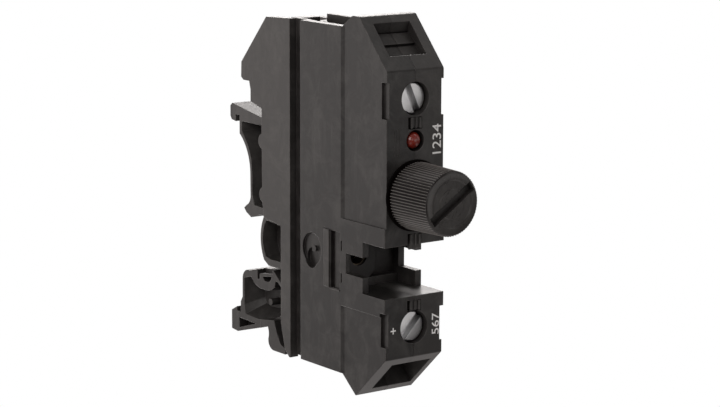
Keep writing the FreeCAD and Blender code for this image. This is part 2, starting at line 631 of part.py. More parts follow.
# ---- snap foot -----------------------------------------------------------------
SNAP_FOOT_OUTLINE = [
    (33.7, 15.4), (34.8, 16.25), (39.4, 15.7), (42.3, 15.0), ((43.9, 14.5), (44.45, 13.4)),
    (44.5, 9.9), (SEAT_DEPTH, 8.9), (SEAT_DEPTH, RAIL_LOWER_EDGE - LIP_CLEARANCE),
    (SEAT_DEPTH + LIP_SLOT, RAIL_LOWER_EDGE - LIP_CLEARANCE),
    (SEAT_DEPTH + LIP_SLOT, RAIL_LOWER_EDGE + 0.7), (HOOK_TIP, RAIL_LOWER_EDGE - 0.2),
    (HOOK_TIP, 3.5), (46.1, 3.3), (36.4, 6.0), (32.2, 8.1), (30.4, 8.6), (30.4, 13.0),
]

LEG_OUTLINE = [
    (36.5, 5.97), (34.2, 6.7), ((33.85, 5.6), (34.0, 4.6)), ((33.6, 3.3), (32.4, 2.75)),
    (PIVOT_DEPTH + 1.25, 2.75), (PIVOT_DEPTH + 1.25, PIVOT_HEIGHT - 0.6),
    (PIVOT_DEPTH + 2.6, PIVOT_HEIGHT - 0.2), ((31.0, 5.3), (32.2, 8.1)), (36.5, 7.5),
]

SNAP_POCKET_RIM = [
    (43.9, 13.4), (41.7, 14.0), (40.4, 12.8), (38.8, 12.35), (36.9, 12.4), (35.6, 12.6),
    (34.4, 13.3), (34.1, 14.4), (33.5, 14.5), (31.1, 12.8), (31.1, 9.6), (33.0, 8.3),
    (36.0, 7.1), (39.5, 6.7), (43.6, 6.9), (43.9, 8.6),
]
SNAP_POCKET_FLOOR = [
    (42.6, 13.0), (41.7, 13.4), (40.5, 12.4), (38.8, 12.0), (36.9, 12.1), (35.8, 12.3),
    (34.8, 12.9), (34.5, 13.6), (33.6, 13.7), (31.6, 12.4), (31.6, 10.6), (33.4, 9.7),
    (36.4, 8.8), (39.5, 8.5), (41.7, 8.8), (42.2, 9.8),
]

BARB_POCKET_OUTLINE = [(45.6, 5.9), (40.2, 5.75), (45.5, 4.15)]
CATCH_LEDGE_OUTLINE = [(39.7, 14.9), (35.0, 15.6), (35.0, 17.5), (39.7, 17.5)]
CATCH_SLIT_OUTLINE = [(39.7, 13.9), (39.0, 14.1), (39.0, 17.5), (39.7, 17.5)]
CATCH_HOLE_OUTLINE = [(38.1, 14.6), (35.3, 15.1), (35.4, 14.6), (36.1, 13.95), (37.5, 13.9)]


def snap_foot():
    """Spring foot: barb under the rail's lower lip, screwdriver catch, leg and bead."""
    body = plate(SNAP_FOOT_OUTLINE, -FOOT_HALF, FOOT_HALF)
    leg = plate(LEG_OUTLINE, -LEG_WIDTH / 2, LEG_WIDTH / 2)
    neck = block(-FOOT_HALF, FOOT_HALF, PIVOT_DEPTH, PIVOT_DEPTH + PIVOT_NECK,
                 PIVOT_HEIGHT - 0.5, PIVOT_HEIGHT + 0.4)
    bead = Part.makeCylinder(PIVOT_RADIUS, FOOT_WIDTH, at(PIVOT_DEPTH, PIVOT_HEIGHT, -FOOT_HALF),
                             Vector(1, 0, 0))
    outside, floor = FOOT_HALF + 0.1, FOOT_HALF - FOOT_POCKET_SINK
    pockets = [
        sloped_pocket(SNAP_POCKET_RIM, SNAP_POCKET_FLOOR, FOOT_HALF, floor),
        plate(BARB_POCKET_OUTLINE, FOOT_HALF - 1.8, outside),
        plate(CATCH_LEDGE_OUTLINE, FOOT_HALF - 1.3, outside),
        plate(CATCH_SLIT_OUTLINE, FOOT_HALF - 1.8, outside),
        plate(CATCH_HOLE_OUTLINE, FOOT_HALF - 2.6, outside),
    ]
    foot = joined([body, leg, neck, bead])
    for pocket in pockets:
        foot = foot.cut(both_sides(pocket))
    stud = Part.makeCylinder(0.6, 2.0, at(37.9, 9.9, floor - 0.2), Vector(1, 0, 0))
    return joined([foot] + both_sides(stud))


# ---- clamps ----------------------------------------------------------------------
def clamp_screw(which):
    height = CLAMP_HEIGHTS[which]
    rim = 0.25
    profile = [
        (HEAD_FRONT, 0), (HEAD_FRONT, HEAD_RADIUS - rim), (HEAD_FRONT + rim, HEAD_RADIUS),
        (HEAD_REAR, HEAD_RADIUS), (HEAD_REAR, SHANK_RADIUS),
        (BUSBAR_FRONT - FIT - 0.3, SHANK_RADIUS), (BUSBAR_FRONT - FIT, SHANK_RADIUS - 0.3),
        (BUSBAR_FRONT - FIT, 0),
    ]
    slot = block(-HEAD_RADIUS - 1, HEAD_RADIUS + 1, HEAD_FRONT - 1, HEAD_FRONT + SCREW_SLOT_SINK,
                 height - SCREW_SLOT_WIDTH / 2, height + SCREW_SLOT_WIDTH / 2)
    return turned(profile, height).cut(about_y(slot, height, SCREW_SLOT_ANGLE[which]))


def clamp_sleeve(which):
    """Sleeve that the screw draws forward, pulling the wire onto the busbar."""
    height = CLAMP_HEIGHTS[which]
    half = SLEEVE_WIDTH / 2
    low, high = height - SLEEVE_HEIGHT / 2, height + SLEEVE_HEIGHT / 2
    sleeve = block(-half, half, SLEEVE_FRONT, SLEEVE_REAR, low, high)
    upright = [edge for edge in sleeve.Edges
               if abs(edge.Vertexes[0].Z - edge.Vertexes[1].Z) > SLEEVE_HEIGHT / 2]
    sleeve = sleeve.makeFillet(0.6, upright)
    inside = block(-half + SLEEVE_SIDE, half - SLEEVE_SIDE, SLEEVE_FRONT + SLEEVE_PLATE,
                   SLEEVE_REAR - SLEEVE_PLATE, low - 1, high + 1)
    thread = rod(SHANK_RADIUS + THREAD_CLEARANCE, SLEEVE_FRONT - 1, SLEEVE_FRONT + 2, height)
    teeth = []
    for step in range(4):
        ridge = low + 1.2 + step * 1.2
        floor = SLEEVE_REAR - SLEEVE_PLATE
        outline = [(floor - 0.1, ridge - 0.35), (floor + 0.3, ridge), (floor - 0.1, ridge + 0.35)]
        teeth.append(plate(outline, -half + SLEEVE_SIDE, half - SLEEVE_SIDE))
    return sleeve.cut([inside, thread] + teeth)


# ---- busbars ---------------------------------------------------------------------
def upper_busbar():
    """Strip from the upper clamp down to an eye behind the holder ring."""
    half = BUSBAR_WIDTH / 2
    top = CLAMP_HEIGHTS["upper"] + SLEEVE_HEIGHT / 2
    strip = block(-half, half, BUSBAR_FRONT, BUSBAR_REAR, FUSE_AXIS, top)
    eye = rod(RING_OUTER, BUSBAR_FRONT, BUSBAR_REAR, FUSE_AXIS)
    hole = rod(THREAD_RADIUS - THREAD_WALL + 0.1, BUSBAR_FRONT - 1, BUSBAR_REAR + 1, FUSE_AXIS)
    return joined([strip, eye]).cut(hole)


def lower_busbar():
    """Bent strip from the lower clamp, past the bridge bush, to the rear contact."""
    half = BUSBAR_WIDTH / 2
    strip = plate(strip_outline(LOWER_BUSBAR_PATH, BUSBAR_THICKNESS), -half, half)
    hole = rod(BRIDGE_BORE_RADIUS + 0.1, BRIDGE_BLOCK_REAR - 1, BRIDGE_BLOCK_REAR + 2,
               BRIDGE_HEIGHT, BRIDGE_X)
    return joined([strip, busbar_ear(0)]).cut(hole)


# ---- bridge bush ------------------------------------------------------------------
def bridge_block():
    """Insulating block with chamfered corners around the bridge nut."""
    left, right, low, high = BRIDGE_BLOCK_LEFT, BRIDGE_BLOCK_RIGHT, BRIDGE_BLOCK_LOW, BRIDGE_BLOCK_HIGH
    cut = BRIDGE_CHAMFER
    corners = [(left, low), (right - cut, low), (right, low + cut), (right, high - cut),
               (right - cut, high), (left, high)]
    points = [at(CHANNEL_REAR, height, x) for x, height in corners]
    face = Part.Face(Part.makePolygon(points + points[:1]))
    solid = face.extrude(Vector(0, BRIDGE_BLOCK_REAR - CHANNEL_REAR, 0))
    seat = rod(BRIDGE_SEAT_RADIUS, CHANNEL_REAR + BRIDGE_NUT_SINK, BRIDGE_BLOCK_REAR + 1,
               BRIDGE_HEIGHT, BRIDGE_X)
    mouth = rod(BRIDGE_BORE_RADIUS + 0.2, CHANNEL_REAR - 1, CHANNEL_REAR + 1, BRIDGE_HEIGHT, BRIDGE_X)
    return solid.cut([seat, mouth])


def bridge_nut():
    ring = rod(BRIDGE_SEAT_RADIUS - FIT, CHANNEL_REAR + BRIDGE_NUT_SINK + FIT, BRIDGE_BLOCK_REAR,
               BRIDGE_HEIGHT, BRIDGE_X)
    bore = rod(BRIDGE_BORE_RADIUS, CHANNEL_REAR, BRIDGE_BLOCK_REAR + 1, BRIDGE_HEIGHT, BRIDGE_X)
    return ring.cut(bore)


# ---- fuse holder ---------------------------------------------------------------------
def knurled_band(front, rear):
    """Tapered skirt with fine axial ribs between two depths."""
    rings = []
    for depth, outer in ((front, CAP_FRONT_RADIUS), (rear, CAP_SKIRT_RADIUS)):
        points = []
        for index in range(2 * KNURL_COUNT):
            radius = outer - (KNURL_SINK if index % 2 else 0)
            angle = math.pi * index / KNURL_COUNT
            points.append(at(depth, FUSE_AXIS + radius * math.sin(angle), radius * math.cos(angle)))
        rings.append(Part.makePolygon(points + points[:1]))
    return Part.makeLoft(rings, True, True)


def fuse_cap():
    """Screw cap: knurled skirt, stepped face, closed driver slot and hollow for the clip."""
    clip_radius = END_CAP_RADIUS + GRIP_CLEARANCE + CLIP_WALL
    rim_end = CAP_FRONT + CAP_RIM_LENGTH
    wide_dish, narrow_dish = CAP_DISH_RADII
    face = turned([
        (CAP_FRONT + CAP_DISH_STEP, 0), (CAP_FRONT + CAP_DISH_STEP, narrow_dish),
        (CAP_FRONT + 2 * CAP_DISH_STEP, narrow_dish + CAP_DISH_STEP),
        (CAP_FRONT + 2 * CAP_DISH_STEP, wide_dish), (CAP_FRONT, wide_dish + CAP_DISH_STEP),
        (CAP_FRONT, CAP_FRONT_RADIUS - CAP_RIM_STEP), (rim_end, CAP_FRONT_RADIUS - 0.05),
        (rim_end, 0),
    ], FUSE_AXIS)
    neck = rod(CAP_NECK_RADIUS, CAP_SKIRT_END, CAP_BASE, FUSE_AXIS)
    bore = rod(clip_radius, FUSE_FRONT - CLIP_FLOOR, CAP_BASE + 1, FUSE_AXIS)
    slot = block(-CAP_SLOT_LENGTH / 2, CAP_SLOT_LENGTH / 2, CAP_FRONT - 1, CAP_FRONT + CAP_SLOT_SINK,
                 FUSE_AXIS - CAP_SLOT_WIDTH / 2, FUSE_AXIS + CAP_SLOT_WIDTH / 2)
    cap = joined([face, knurled_band(rim_end, CAP_SKIRT_END), neck])
    return cap.cut([bore, about_y(slot, FUSE_AXIS, CAP_SLOT_ANGLE)])


def cap_contact():
    """Metal lining of the cap: clip round the fuse's end and the threaded sleeve."""
    clip_in = END_CAP_RADIUS + GRIP_CLEARANCE
    clip_out = clip_in + CLIP_WALL
    thread_in = THREAD_RADIUS - THREAD_WALL
    shell = turned([
        (FUSE_FRONT - CLIP_FLOOR, clip_in), (FUSE_FRONT - CLIP_FLOOR, clip_out), (CAP_BASE, clip_out),
        (CAP_BASE, THREAD_RADIUS), (THREAD_END, THREAD_RADIUS), (THREAD_END, thread_in),
        (CAP_BASE + 0.4, thread_in), (CAP_BASE + 0.4, clip_in),
    ], FUSE_AXIS)
    return shell


def cap_spring():
    """Small spring that presses on the front end of the fuse."""
    return coil(SPRING_RADIUS - 0.2, SPRING_WIRE_RADIUS, FUSE_FRONT - CLIP_FLOOR, FUSE_FRONT, 2)


def fuse_carrier():
    """Insulating tube that guides the fuse behind the cap."""
    inner = END_CAP_RADIUS + 0.15
    outer = THREAD_RADIUS - THREAD_WALL
    front = CAP_BASE + 0.4
    return rod(outer, front, CARRIER_END, FUSE_AXIS).cut(rod(inner, front - 1, CARRIER_END + 1, FUSE_AXIS))


def coil(radius, wire, depth_low, depth_high, turns):
    """Compression spring along the fuse axis, in short straight runs between two depths."""
    steps = round(turns * COIL_STEPS)
    travel = depth_high - depth_low - 2 * wire
    sections = []
    for step in range(steps + 1):
        angle = 2 * math.pi * step / COIL_STEPS
        depth = depth_low + wire + travel * step / steps
        points = []
        for corner in range(6):
            turn = math.pi * corner / 3
            reach = radius + wire * math.cos(turn)
            points.append(at(depth + wire * math.sin(turn), FUSE_AXIS + reach * math.sin(angle),
                             reach * math.cos(angle)))
        sections.append(Part.makePolygon(points + points[:1]))
    return Part.makeLoft(sections, True, True)


def holder_ring():
    """Threaded metal ring in the shells that the cap screws into."""
    return rod(RING_OUTER, RING_FRONT, BUSBAR_FRONT, FUSE_AXIS).cut(
        rod(RING_INNER, RING_FRONT - 1, BUSBAR_FRONT + 1, FUSE_AXIS))


def rear_contact():
    """Sprung cup behind the fuse."""
    lip_in = END_CAP_RADIUS + GRIP_CLEARANCE
    rear = FUSE_REAR + PLUNGER_FLOOR
    return turned([
        (FUSE_REAR, 0), (FUSE_REAR, lip_in), (FUSE_REAR - PLUNGER_LIP, lip_in),
        (FUSE_REAR - PLUNGER_LIP, PLUNGER_RADIUS), (rear, PLUNGER_RADIUS),
        (rear, PLUNGER_STEM_RADIUS), (rear + PLUNGER_STEM, PLUNGER_STEM_RADIUS),
        (rear + PLUNGER_STEM, 0),
    ], FUSE_AXIS)


def rear_spring():
    return coil(SPRING_RADIUS, SPRING_WIRE_RADIUS, FUSE_REAR + PLUNGER_FLOOR, REAR_CONTACT_DEPTH,
                SPRING_TURNS)


# ---- fuse -----------------------------------------------------------------------------
def glass_tube():
    front, rear = FUSE_FRONT + END_CAP_FLOOR, FUSE_REAR - END_CAP_FLOOR
    return rod(GLASS_RADIUS, front, rear, FUSE_AXIS).cut(
        rod(GLASS_RADIUS - GLASS_WALL, front - 1, rear + 1, FUSE_AXIS))


def end_cap(front, opening):
    """Metal end cap: front depth and +1 if it opens towards the rear."""
    cup = rod(END_CAP_RADIUS, front, front + END_CAP_LENGTH, FUSE_AXIS)
    floor = END_CAP_FLOOR if opening > 0 else 0
    hollow = rod(GLASS_RADIUS, front + floor, front + floor + END_CAP_LENGTH - END_CAP_FLOOR, FUSE_AXIS)
    return cup.cut(hollow)


def fuse_wire():
    return rod(FUSE_WIRE_RADIUS, FUSE_FRONT + END_CAP_FLOOR, FUSE_REAR - END_CAP_FLOOR, FUSE_AXIS)


# ---- lamp -----------------------------------------------------------------------------
def lamp_lens():
    """Lens turned in short steps over the dome, with a stem and a flange that holds it."""
    middle, flange = LAMP_RADIUS - LAMP_NOSE, LAMP_RADIUS + LAMP_CLEARANCE - FIT
    dome = []
    for step in range(DOME_STEPS + 1):
        angle = math.pi / 2 * step / DOME_STEPS
        dome.append((middle - LAMP_RADIUS * math.cos(angle), LAMP_RADIUS * math.sin(angle)))
    return turned(dome + [
        (LAMP_LENGTH - LAMP_FLANGE, LAMP_RADIUS), (LAMP_LENGTH - LAMP_FLANGE, flange),
        (LAMP_LENGTH, flange), (LAMP_LENGTH, 0),
    ], LAMP_HEIGHT)


def bent_wire(points):
    """Six-sided wire of straight runs through points, lapped at the corners."""
    pieces = []
    for index, (start, end) in enumerate(zip(points, points[1:])):
        along = (end - start).normalize()
        start = start if index == 0 else start - along * LEAD_LAP
        end = end if index == len(points) - 2 else end + along * LEAD_LAP
        across = along.cross(Vector(0, 0, 1) if abs(along.z) < 0.5 else Vector(0, 1, 0)).normalize()
        up = along.cross(across)
        corners = [start + across * (LEAD_RADIUS * math.cos(turn)) + up * (LEAD_RADIUS * math.sin(turn))
                   for turn in (math.pi * side / 3 for side in range(6))]
        pieces.append(Part.Face(Part.makePolygon(corners + corners[:1])).extrude(end - start))
    return joined(pieces)


def lamp_leads():
    """Two leads: one to the upper busbar, one to the resistor."""
    x = LEAD_SPACING / 2
    bend = LAMP_LENGTH + 1.2
    short = bent_wire([at(LAMP_LENGTH, LAMP_HEIGHT, -x), at(BUSBAR_FRONT, LAMP_HEIGHT, -x)])
    long = bent_wire([
        at(LAMP_LENGTH, LAMP_HEIGHT, x), at(bend, LAMP_HEIGHT, x),
        at(bend, LAMP_HEIGHT, LEAD_LANE), at(RESISTOR_FRONT, LAMP_HEIGHT, LEAD_LANE),
    ])
    return Part.makeCompound([short, long])


def resistor():
    rear = RESISTOR_FRONT + RESISTOR_LENGTH
    waist, end = RESISTOR_RADIUS - 0.15, 1.0
    return turned([
        (RESISTOR_FRONT, 0), (RESISTOR_FRONT, RESISTOR_RADIUS), (RESISTOR_FRONT + end, RESISTOR_RADIUS),
        (RESISTOR_FRONT + end + 0.3, waist), (rear - end - 0.3, waist), (rear - end, RESISTOR_RADIUS),
        (rear, RESISTOR_RADIUS), (rear, 0),
    ], LAMP_HEIGHT, LEAD_LANE)


def resistor_lead():
    """Lead from the resistor down to the rear busbar's top end."""
    depth = REAR_CONTACT_DEPTH + BUSBAR_THICKNESS / 2
    landing = FUSE_AXIS + LEAD_LANDING
    x = BUSBAR_WIDTH / 2 - 0.5
    return bent_wire([
        at(RESISTOR_FRONT + RESISTOR_LENGTH, LAMP_HEIGHT, LEAD_LANE), at(depth, LAMP_HEIGHT, LEAD_LANE),
        at(depth, LAMP_HEIGHT - LEAD_STEP, x), at(depth, landing, x),
    ])


PIECES = {
    "left_shell": half_shell(-1),
    "right_shell": half_shell(1),
    "snap_foot": snap_foot(),
    "upper_clamp_screw": clamp_screw("upper"),
    "lower_clamp_screw": clamp_screw("lower"),
    "upper_clamp_sleeve": clamp_sleeve("upper"),
    "lower_clamp_sleeve": clamp_sleeve("lower"),
    "upper_busbar": upper_busbar(),
    "lower_busbar": lower_busbar(),
    "bridge_block": bridge_block(),
    "bridge_nut": bridge_nut(),
    "fuse_cap": fuse_cap(),
    "cap_contact": cap_contact(),
    "cap_spring": cap_spring(),
    "fuse_carrier": fuse_carrier(),
    "holder_ring": holder_ring(),
    "rear_contact": rear_contact(),
    "rear_spring": rear_spring(),
    "fuse_glass": glass_tube(),
    "fuse_end_front": end_cap(FUSE_FRONT, 1),
    "fuse_end_rear": end_cap(FUSE_REAR - END_CAP_LENGTH, -1),
    "fuse_wire": fuse_wire(),
    "lamp_lens": lamp_lens(),
    "lamp_leads": lamp_leads(),
    "lamp_resistor": resistor(),
    "resistor_lead": resistor_lead(),
}

for name, shape in PIECES.items():
    export(name, shape)
    print(name, len(shape.Solids), "solids", round(shape.Volume, 2), "mm3", shape.isValid())
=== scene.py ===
"""Looks of the rail-mounted fuse terminal: materials, printed marks, small trim, light and camera.

Metres.  X runs along the rail, Y from the front face towards the rail, Z up.
"""
import math

import bpy
from mathutils import Matrix, Vector


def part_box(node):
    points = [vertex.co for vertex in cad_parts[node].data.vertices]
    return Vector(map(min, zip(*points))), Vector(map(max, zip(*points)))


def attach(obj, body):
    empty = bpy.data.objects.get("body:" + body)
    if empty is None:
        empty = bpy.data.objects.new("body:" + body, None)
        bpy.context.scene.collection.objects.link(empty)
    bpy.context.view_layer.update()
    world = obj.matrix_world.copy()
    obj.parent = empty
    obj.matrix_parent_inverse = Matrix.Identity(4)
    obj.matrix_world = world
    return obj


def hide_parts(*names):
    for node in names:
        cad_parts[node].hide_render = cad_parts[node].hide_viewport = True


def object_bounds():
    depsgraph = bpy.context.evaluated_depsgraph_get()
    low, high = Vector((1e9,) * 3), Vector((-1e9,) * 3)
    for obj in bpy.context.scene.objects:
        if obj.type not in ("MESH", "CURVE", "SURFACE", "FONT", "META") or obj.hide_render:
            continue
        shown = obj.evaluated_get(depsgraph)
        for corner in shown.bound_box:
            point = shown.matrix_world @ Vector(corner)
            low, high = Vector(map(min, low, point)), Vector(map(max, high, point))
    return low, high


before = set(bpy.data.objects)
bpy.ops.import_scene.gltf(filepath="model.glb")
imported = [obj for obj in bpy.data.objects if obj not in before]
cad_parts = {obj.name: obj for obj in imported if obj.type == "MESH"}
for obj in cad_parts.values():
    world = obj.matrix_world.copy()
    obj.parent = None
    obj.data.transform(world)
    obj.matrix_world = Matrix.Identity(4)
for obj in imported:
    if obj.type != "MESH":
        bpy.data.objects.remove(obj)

MM = 0.001
CAD_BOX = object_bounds()
BLOCK_MIDDLE = (Vector(CAD_BOX[0]) + Vector(CAD_BOX[1])) / 2
FRONT_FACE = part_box("left_shell")[0][1]
PRINT_THICKNESS = 0.03 * MM

NEAR_BLACK = (0.0038, 0.0013, 0.0011)   # what painted shade in hollows and rib valleys, and the dark seam line, fade to
EDGE_GLEAM = 3.4                        # worn edges, brightened into a painted highlight, against the rubbed colour
CREST_GLEAM = 2.8                       # painted highlight on rib crests, partly polish, against the rubbed colour

CAP_RIBS = 68
CAP_RIB_DEPTH = 0.24 * MM
CAP_RIB_FLANK_DEPTH = 0.15 * MM
CAP_RIM = 0.3 * MM                      # from the cap's front end back to where its ribs start
CAP_FRONT_RADIUS, CAP_SKIRT_RADIUS, CAP_SKIRT = 5.3 * MM, 5.55 * MM, 8.75 * MM
CAP_NECK_RADIUS = 4.9 * MM
CAP_CLIP_RADIUS = 3.15 * MM
DRIVER_SLOT_LENGTH, DRIVER_SLOT_WIDTH, DRIVER_SLOT_DEPTH = 9.5 * MM, 1.7 * MM, 1.1 * MM
DRIVER_SLOT_ANGLE = -33.5
CLAMP_THREAD_PITCH = 0.7 * MM
CAP_THREAD_PITCH = 1.0 * MM


# ---- shader building ---------------------------------------------------------
def add(tree, kind, inputs=None, **settings):
    """Add a node; inputs gives its sockets a value or the socket that feeds them."""
    node = tree.nodes.new(kind)
    for name, value in settings.items():
        setattr(node, name, value)
    for socket, value in (inputs or {}).items():
        if isinstance(value, bpy.types.NodeSocket):
            tree.links.new(value, node.inputs[socket])
        else:
            node.inputs[socket].default_value = value
    return node


def maths(tree, operation, first, second=0.5, clamp=False):
    return add(tree, "ShaderNodeMath", {0: first, 1: second}, operation=operation, use_clamp=clamp).outputs[0]


def remap(tree, value, start, end, low=0.0, high=1.0, interpolation="LINEAR"):
    """Value that goes from low to high while the given one goes from start to end."""
    limits = {"Value": value, "From Min": start, "From Max": end, "To Min": low, "To Max": high}
    return add(tree, "ShaderNodeMapRange", limits, interpolation_type=interpolation).outputs[0]


def ramp(tree, value, low, high):
    return remap(tree, value, 0.0, 1.0, low, high)


def relief(tree, height, distance, normal, invert=False):
    """Normal of a surface that stands out by a distance where the height is 1."""
    return add(tree, "ShaderNodeBump", {"Height": height, "Distance": distance, "Strength": 1.0,
                                        "Normal": normal}, invert=invert).outputs[0]


def blend_colours(tree, factor, first, second):
    """Colour from the first to the second; each is three numbers or the socket that gives it."""
    ends = {socket: colour if isinstance(colour, bpy.types.NodeSocket) else (*colour, 1.0)
            for socket, colour in ((6, first), (7, second))}
    return add(tree, "ShaderNodeMix", {"Factor": factor, **ends}, data_type="RGBA").outputs[2]


def object_place(tree):
    """Place on the object, whole and as its X, Y and Z."""
    place = add(tree, "ShaderNodeTexCoord").outputs["Object"]
    return place, add(tree, "ShaderNodeSeparateXYZ", {0: place}).outputs


def steps_from_axis(tree, parts, given):
    """Steps along X and along Z from an axis that runs along Y."""
    return (maths(tree, "SUBTRACT", parts["X"], given.outputs["Centre X"]),
            maths(tree, "SUBTRACT", parts["Z"], given.outputs["Centre Z"]))


def square_of_reach(tree, across, up):
    return maths(tree, "ADD", maths(tree, "MULTIPLY", across, across), maths(tree, "MULTIPLY", up, up))


def new_group(name, inputs, outputs):
    """Empty node group with named float inputs and typed outputs."""
    tree = bpy.data.node_groups.new(name, "ShaderNodeTree")
    for label, value in inputs.items():
        socket = tree.interface.new_socket(label, in_out="INPUT", socket_type="NodeSocketFloat")
        socket.default_value = value
    for label, kind in outputs.items():
        tree.interface.new_socket(label, in_out="OUTPUT", socket_type=kind)
    return tree, tree.nodes.new("NodeGroupInput"), tree.nodes.new("NodeGroupOutput")


def put_out(tree, result, outputs):
    """Link the sockets that a group gives out."""
    for label, socket in outputs.items():
        tree.links.new(socket, result.inputs[label])


def soft_edges_group():
    """Normal that rounds sharp edges, and a mask that is 1 along them."""
    tree, given, result = new_group(
        "soft_edges", {"Radius": 0.1 * MM}, {"Normal": "NodeSocketVector", "Edge": "NodeSocketFloat"})
    bevel = add(tree, "ShaderNodeBevel", {"Radius": given.outputs["Radius"]}, samples=6)
    flat = add(tree, "ShaderNodeNewGeometry")
    agree = add(tree, "ShaderNodeVectorMath", {0: bevel.outputs[0], 1: flat.outputs["Normal"]},
                operation="DOT_PRODUCT")
    edge = remap(tree, agree.outputs["Value"], 0.995, 0.75)
    put_out(tree, result, {"Normal": bevel.outputs[0], "Edge": edge})
    return tree


def hollow_shade_group():
    """Mask that is 1 in the open and falls towards 0 in pockets, and a near one for inner corners; both paint
    shade into hollows.
    """
    tree, given, result = new_group(
        "hollow_shade", {"Distance": 4.0 * MM, "Shut": 0.1, "Free": 0.7},
        {"Open": "NodeSocketFloat", "Near Open": "NodeSocketFloat"})
    wide = add(tree, "ShaderNodeAmbientOcclusion", {"Distance": given.outputs["Distance"]}, samples=6)
    near = add(tree, "ShaderNodeAmbientOcclusion", {"Distance": 1.0 * MM}, samples=6)
    open_part = remap(tree, wide.outputs["AO"], given.outputs["Shut"], given.outputs["Free"],
                      interpolation="SMOOTHSTEP")
    corner = remap(tree, near.outputs["AO"], 0.35, 0.85)
    put_out(tree, result, {"Open": open_part, "Near Open": corner})
    return tree


def moulded_grain_group():
    """Fine eroded grain of a mould on a normal, with slow mottling of the surface."""
    tree, given, result = new_group(
        "moulded_grain", {"Grain Size": 0.12 * MM, "Grain Depth": 0.004 * MM},
        {"Normal": "NodeSocketVector", "Mottle": "NodeSocketFloat", "Streaks": "NodeSocketFloat"})
    tree.interface.new_socket("Normal", in_out="INPUT", socket_type="NodeSocketVector")
    place = add(tree, "ShaderNodeTexCoord").outputs["Object"]
    fineness = maths(tree, "DIVIDE", 1.0, given.outputs["Grain Size"])
    grain = add(tree, "ShaderNodeTexNoise", {"Vector": place, "Scale": fineness, "Detail": 3.0,
                                             "Roughness": 0.6})
    mottle = add(tree, "ShaderNodeTexNoise", {"Vector": place, "Scale": 260.0, "Detail": 7.0,
                                              "Roughness": 0.7, "Distortion": 0.6})
    stretched = add(tree, "ShaderNodeMapping", {"Vector": place, "Scale": (260.0, 330.0, 90.0)})
    streaks = add(tree, "ShaderNodeTexNoise", {"Vector": stretched.outputs[0], "Scale": 1.0, "Detail": 6.0,
                                               "Roughness": 0.68, "Distortion": 1.2})
    eroded = relief(tree, grain.outputs["Fac"], given.outputs["Grain Depth"], given.outputs["Normal"])
    put_out(tree, result, {"Normal": eroded, "Mottle": mottle.outputs["Fac"],
                           "Streaks": streaks.outputs["Fac"]})
    return tree


def turned_lines_group():
    """Fine rings round an axis along Y, as a lathe or a barrel leaves them."""
    tree, given, result = new_group(
        "turned_lines", {"Centre X": 0.0, "Centre Z": 0.0, "Ring Spacing": 0.12 * MM, "Depth": 0.003 * MM},
        {"Normal": "NodeSocketVector", "Lines": "NodeSocketFloat", "Stain": "NodeSocketFloat",
         "Square Reach": "NodeSocketFloat"})
    tree.interface.new_socket("Normal", in_out="INPUT", socket_type="NodeSocketVector")
    place, parts = object_place(tree)
    square = square_of_reach(tree, *steps_from_axis(tree, parts, given))
    ring = maths(tree, "DIVIDE", maths(tree, "SQRT", square), given.outputs["Ring Spacing"])
    lines = add(tree, "ShaderNodeTexNoise", {"W": ring, "Scale": 1.0, "Detail": 3.0}, noise_dimensions="1D")
    stain = add(tree, "ShaderNodeTexNoise", {"Vector": place, "Scale": 420.0, "Detail": 4.0,
                                             "Roughness": 0.6})
    turned = relief(tree, lines.outputs["Fac"], given.outputs["Depth"], given.outputs["Normal"])
    put_out(tree, result, {"Normal": turned, "Lines": lines.outputs["Fac"], "Stain": stain.outputs["Fac"],
                           "Square Reach": square})
    return tree


def shell_seam_group():
    """Mask along the plane where the two half shells meet."""
    tree, given, result = new_group("shell_seam", {"Half Width": 0.06 * MM}, {"Seam": "NodeSocketFloat"})
    place, parts = object_place(tree)
    sway = 0.05 * MM
    wander = add(tree, "ShaderNodeTexNoise", {"Vector": place, "Scale": 900.0, "Detail": 1.0})
    shifted = maths(tree, "ADD", parts["X"], maths(tree, "MULTIPLY", wander.outputs["Fac"], sway))
    away = maths(tree, "ABSOLUTE", maths(tree, "SUBTRACT", shifted, sway / 2), 0.0)
    put_out(tree, result, {"Seam": remap(tree, away, given.outputs["Half Width"], 0.0)})
    return tree


def screw_thread_group():
    """Helical ridge height round an axis along Y, between two depths."""
    tree, given, result = new_group(
        "screw_thread", {"Centre X": 0.0, "Centre Z": 0.0, "Pitch": CLAMP_THREAD_PITCH,
                         "From Y": 0.0, "To Y": 1.0},
        {"Height": "NodeSocketFloat"})
    parts = object_place(tree)[1]
    across, up = steps_from_axis(tree, parts, given)
    turn = maths(tree, "DIVIDE", maths(tree, "ARCTAN2", up, across), math.tau)
    advance = maths(tree, "DIVIDE", parts["Y"], given.outputs["Pitch"])
    ridge = maths(tree, "PINGPONG", maths(tree, "ADD", advance, turn), 0.5)
    after = maths(tree, "GREATER_THAN", parts["Y"], given.outputs["From Y"])
    before = maths(tree, "LESS_THAN", parts["Y"], given.outputs["To Y"])
    threaded = maths(tree, "MULTIPLY", after, before)
    put_out(tree, result, {"Height": maths(tree, "MULTIPLY", threaded, ridge)})
    return tree


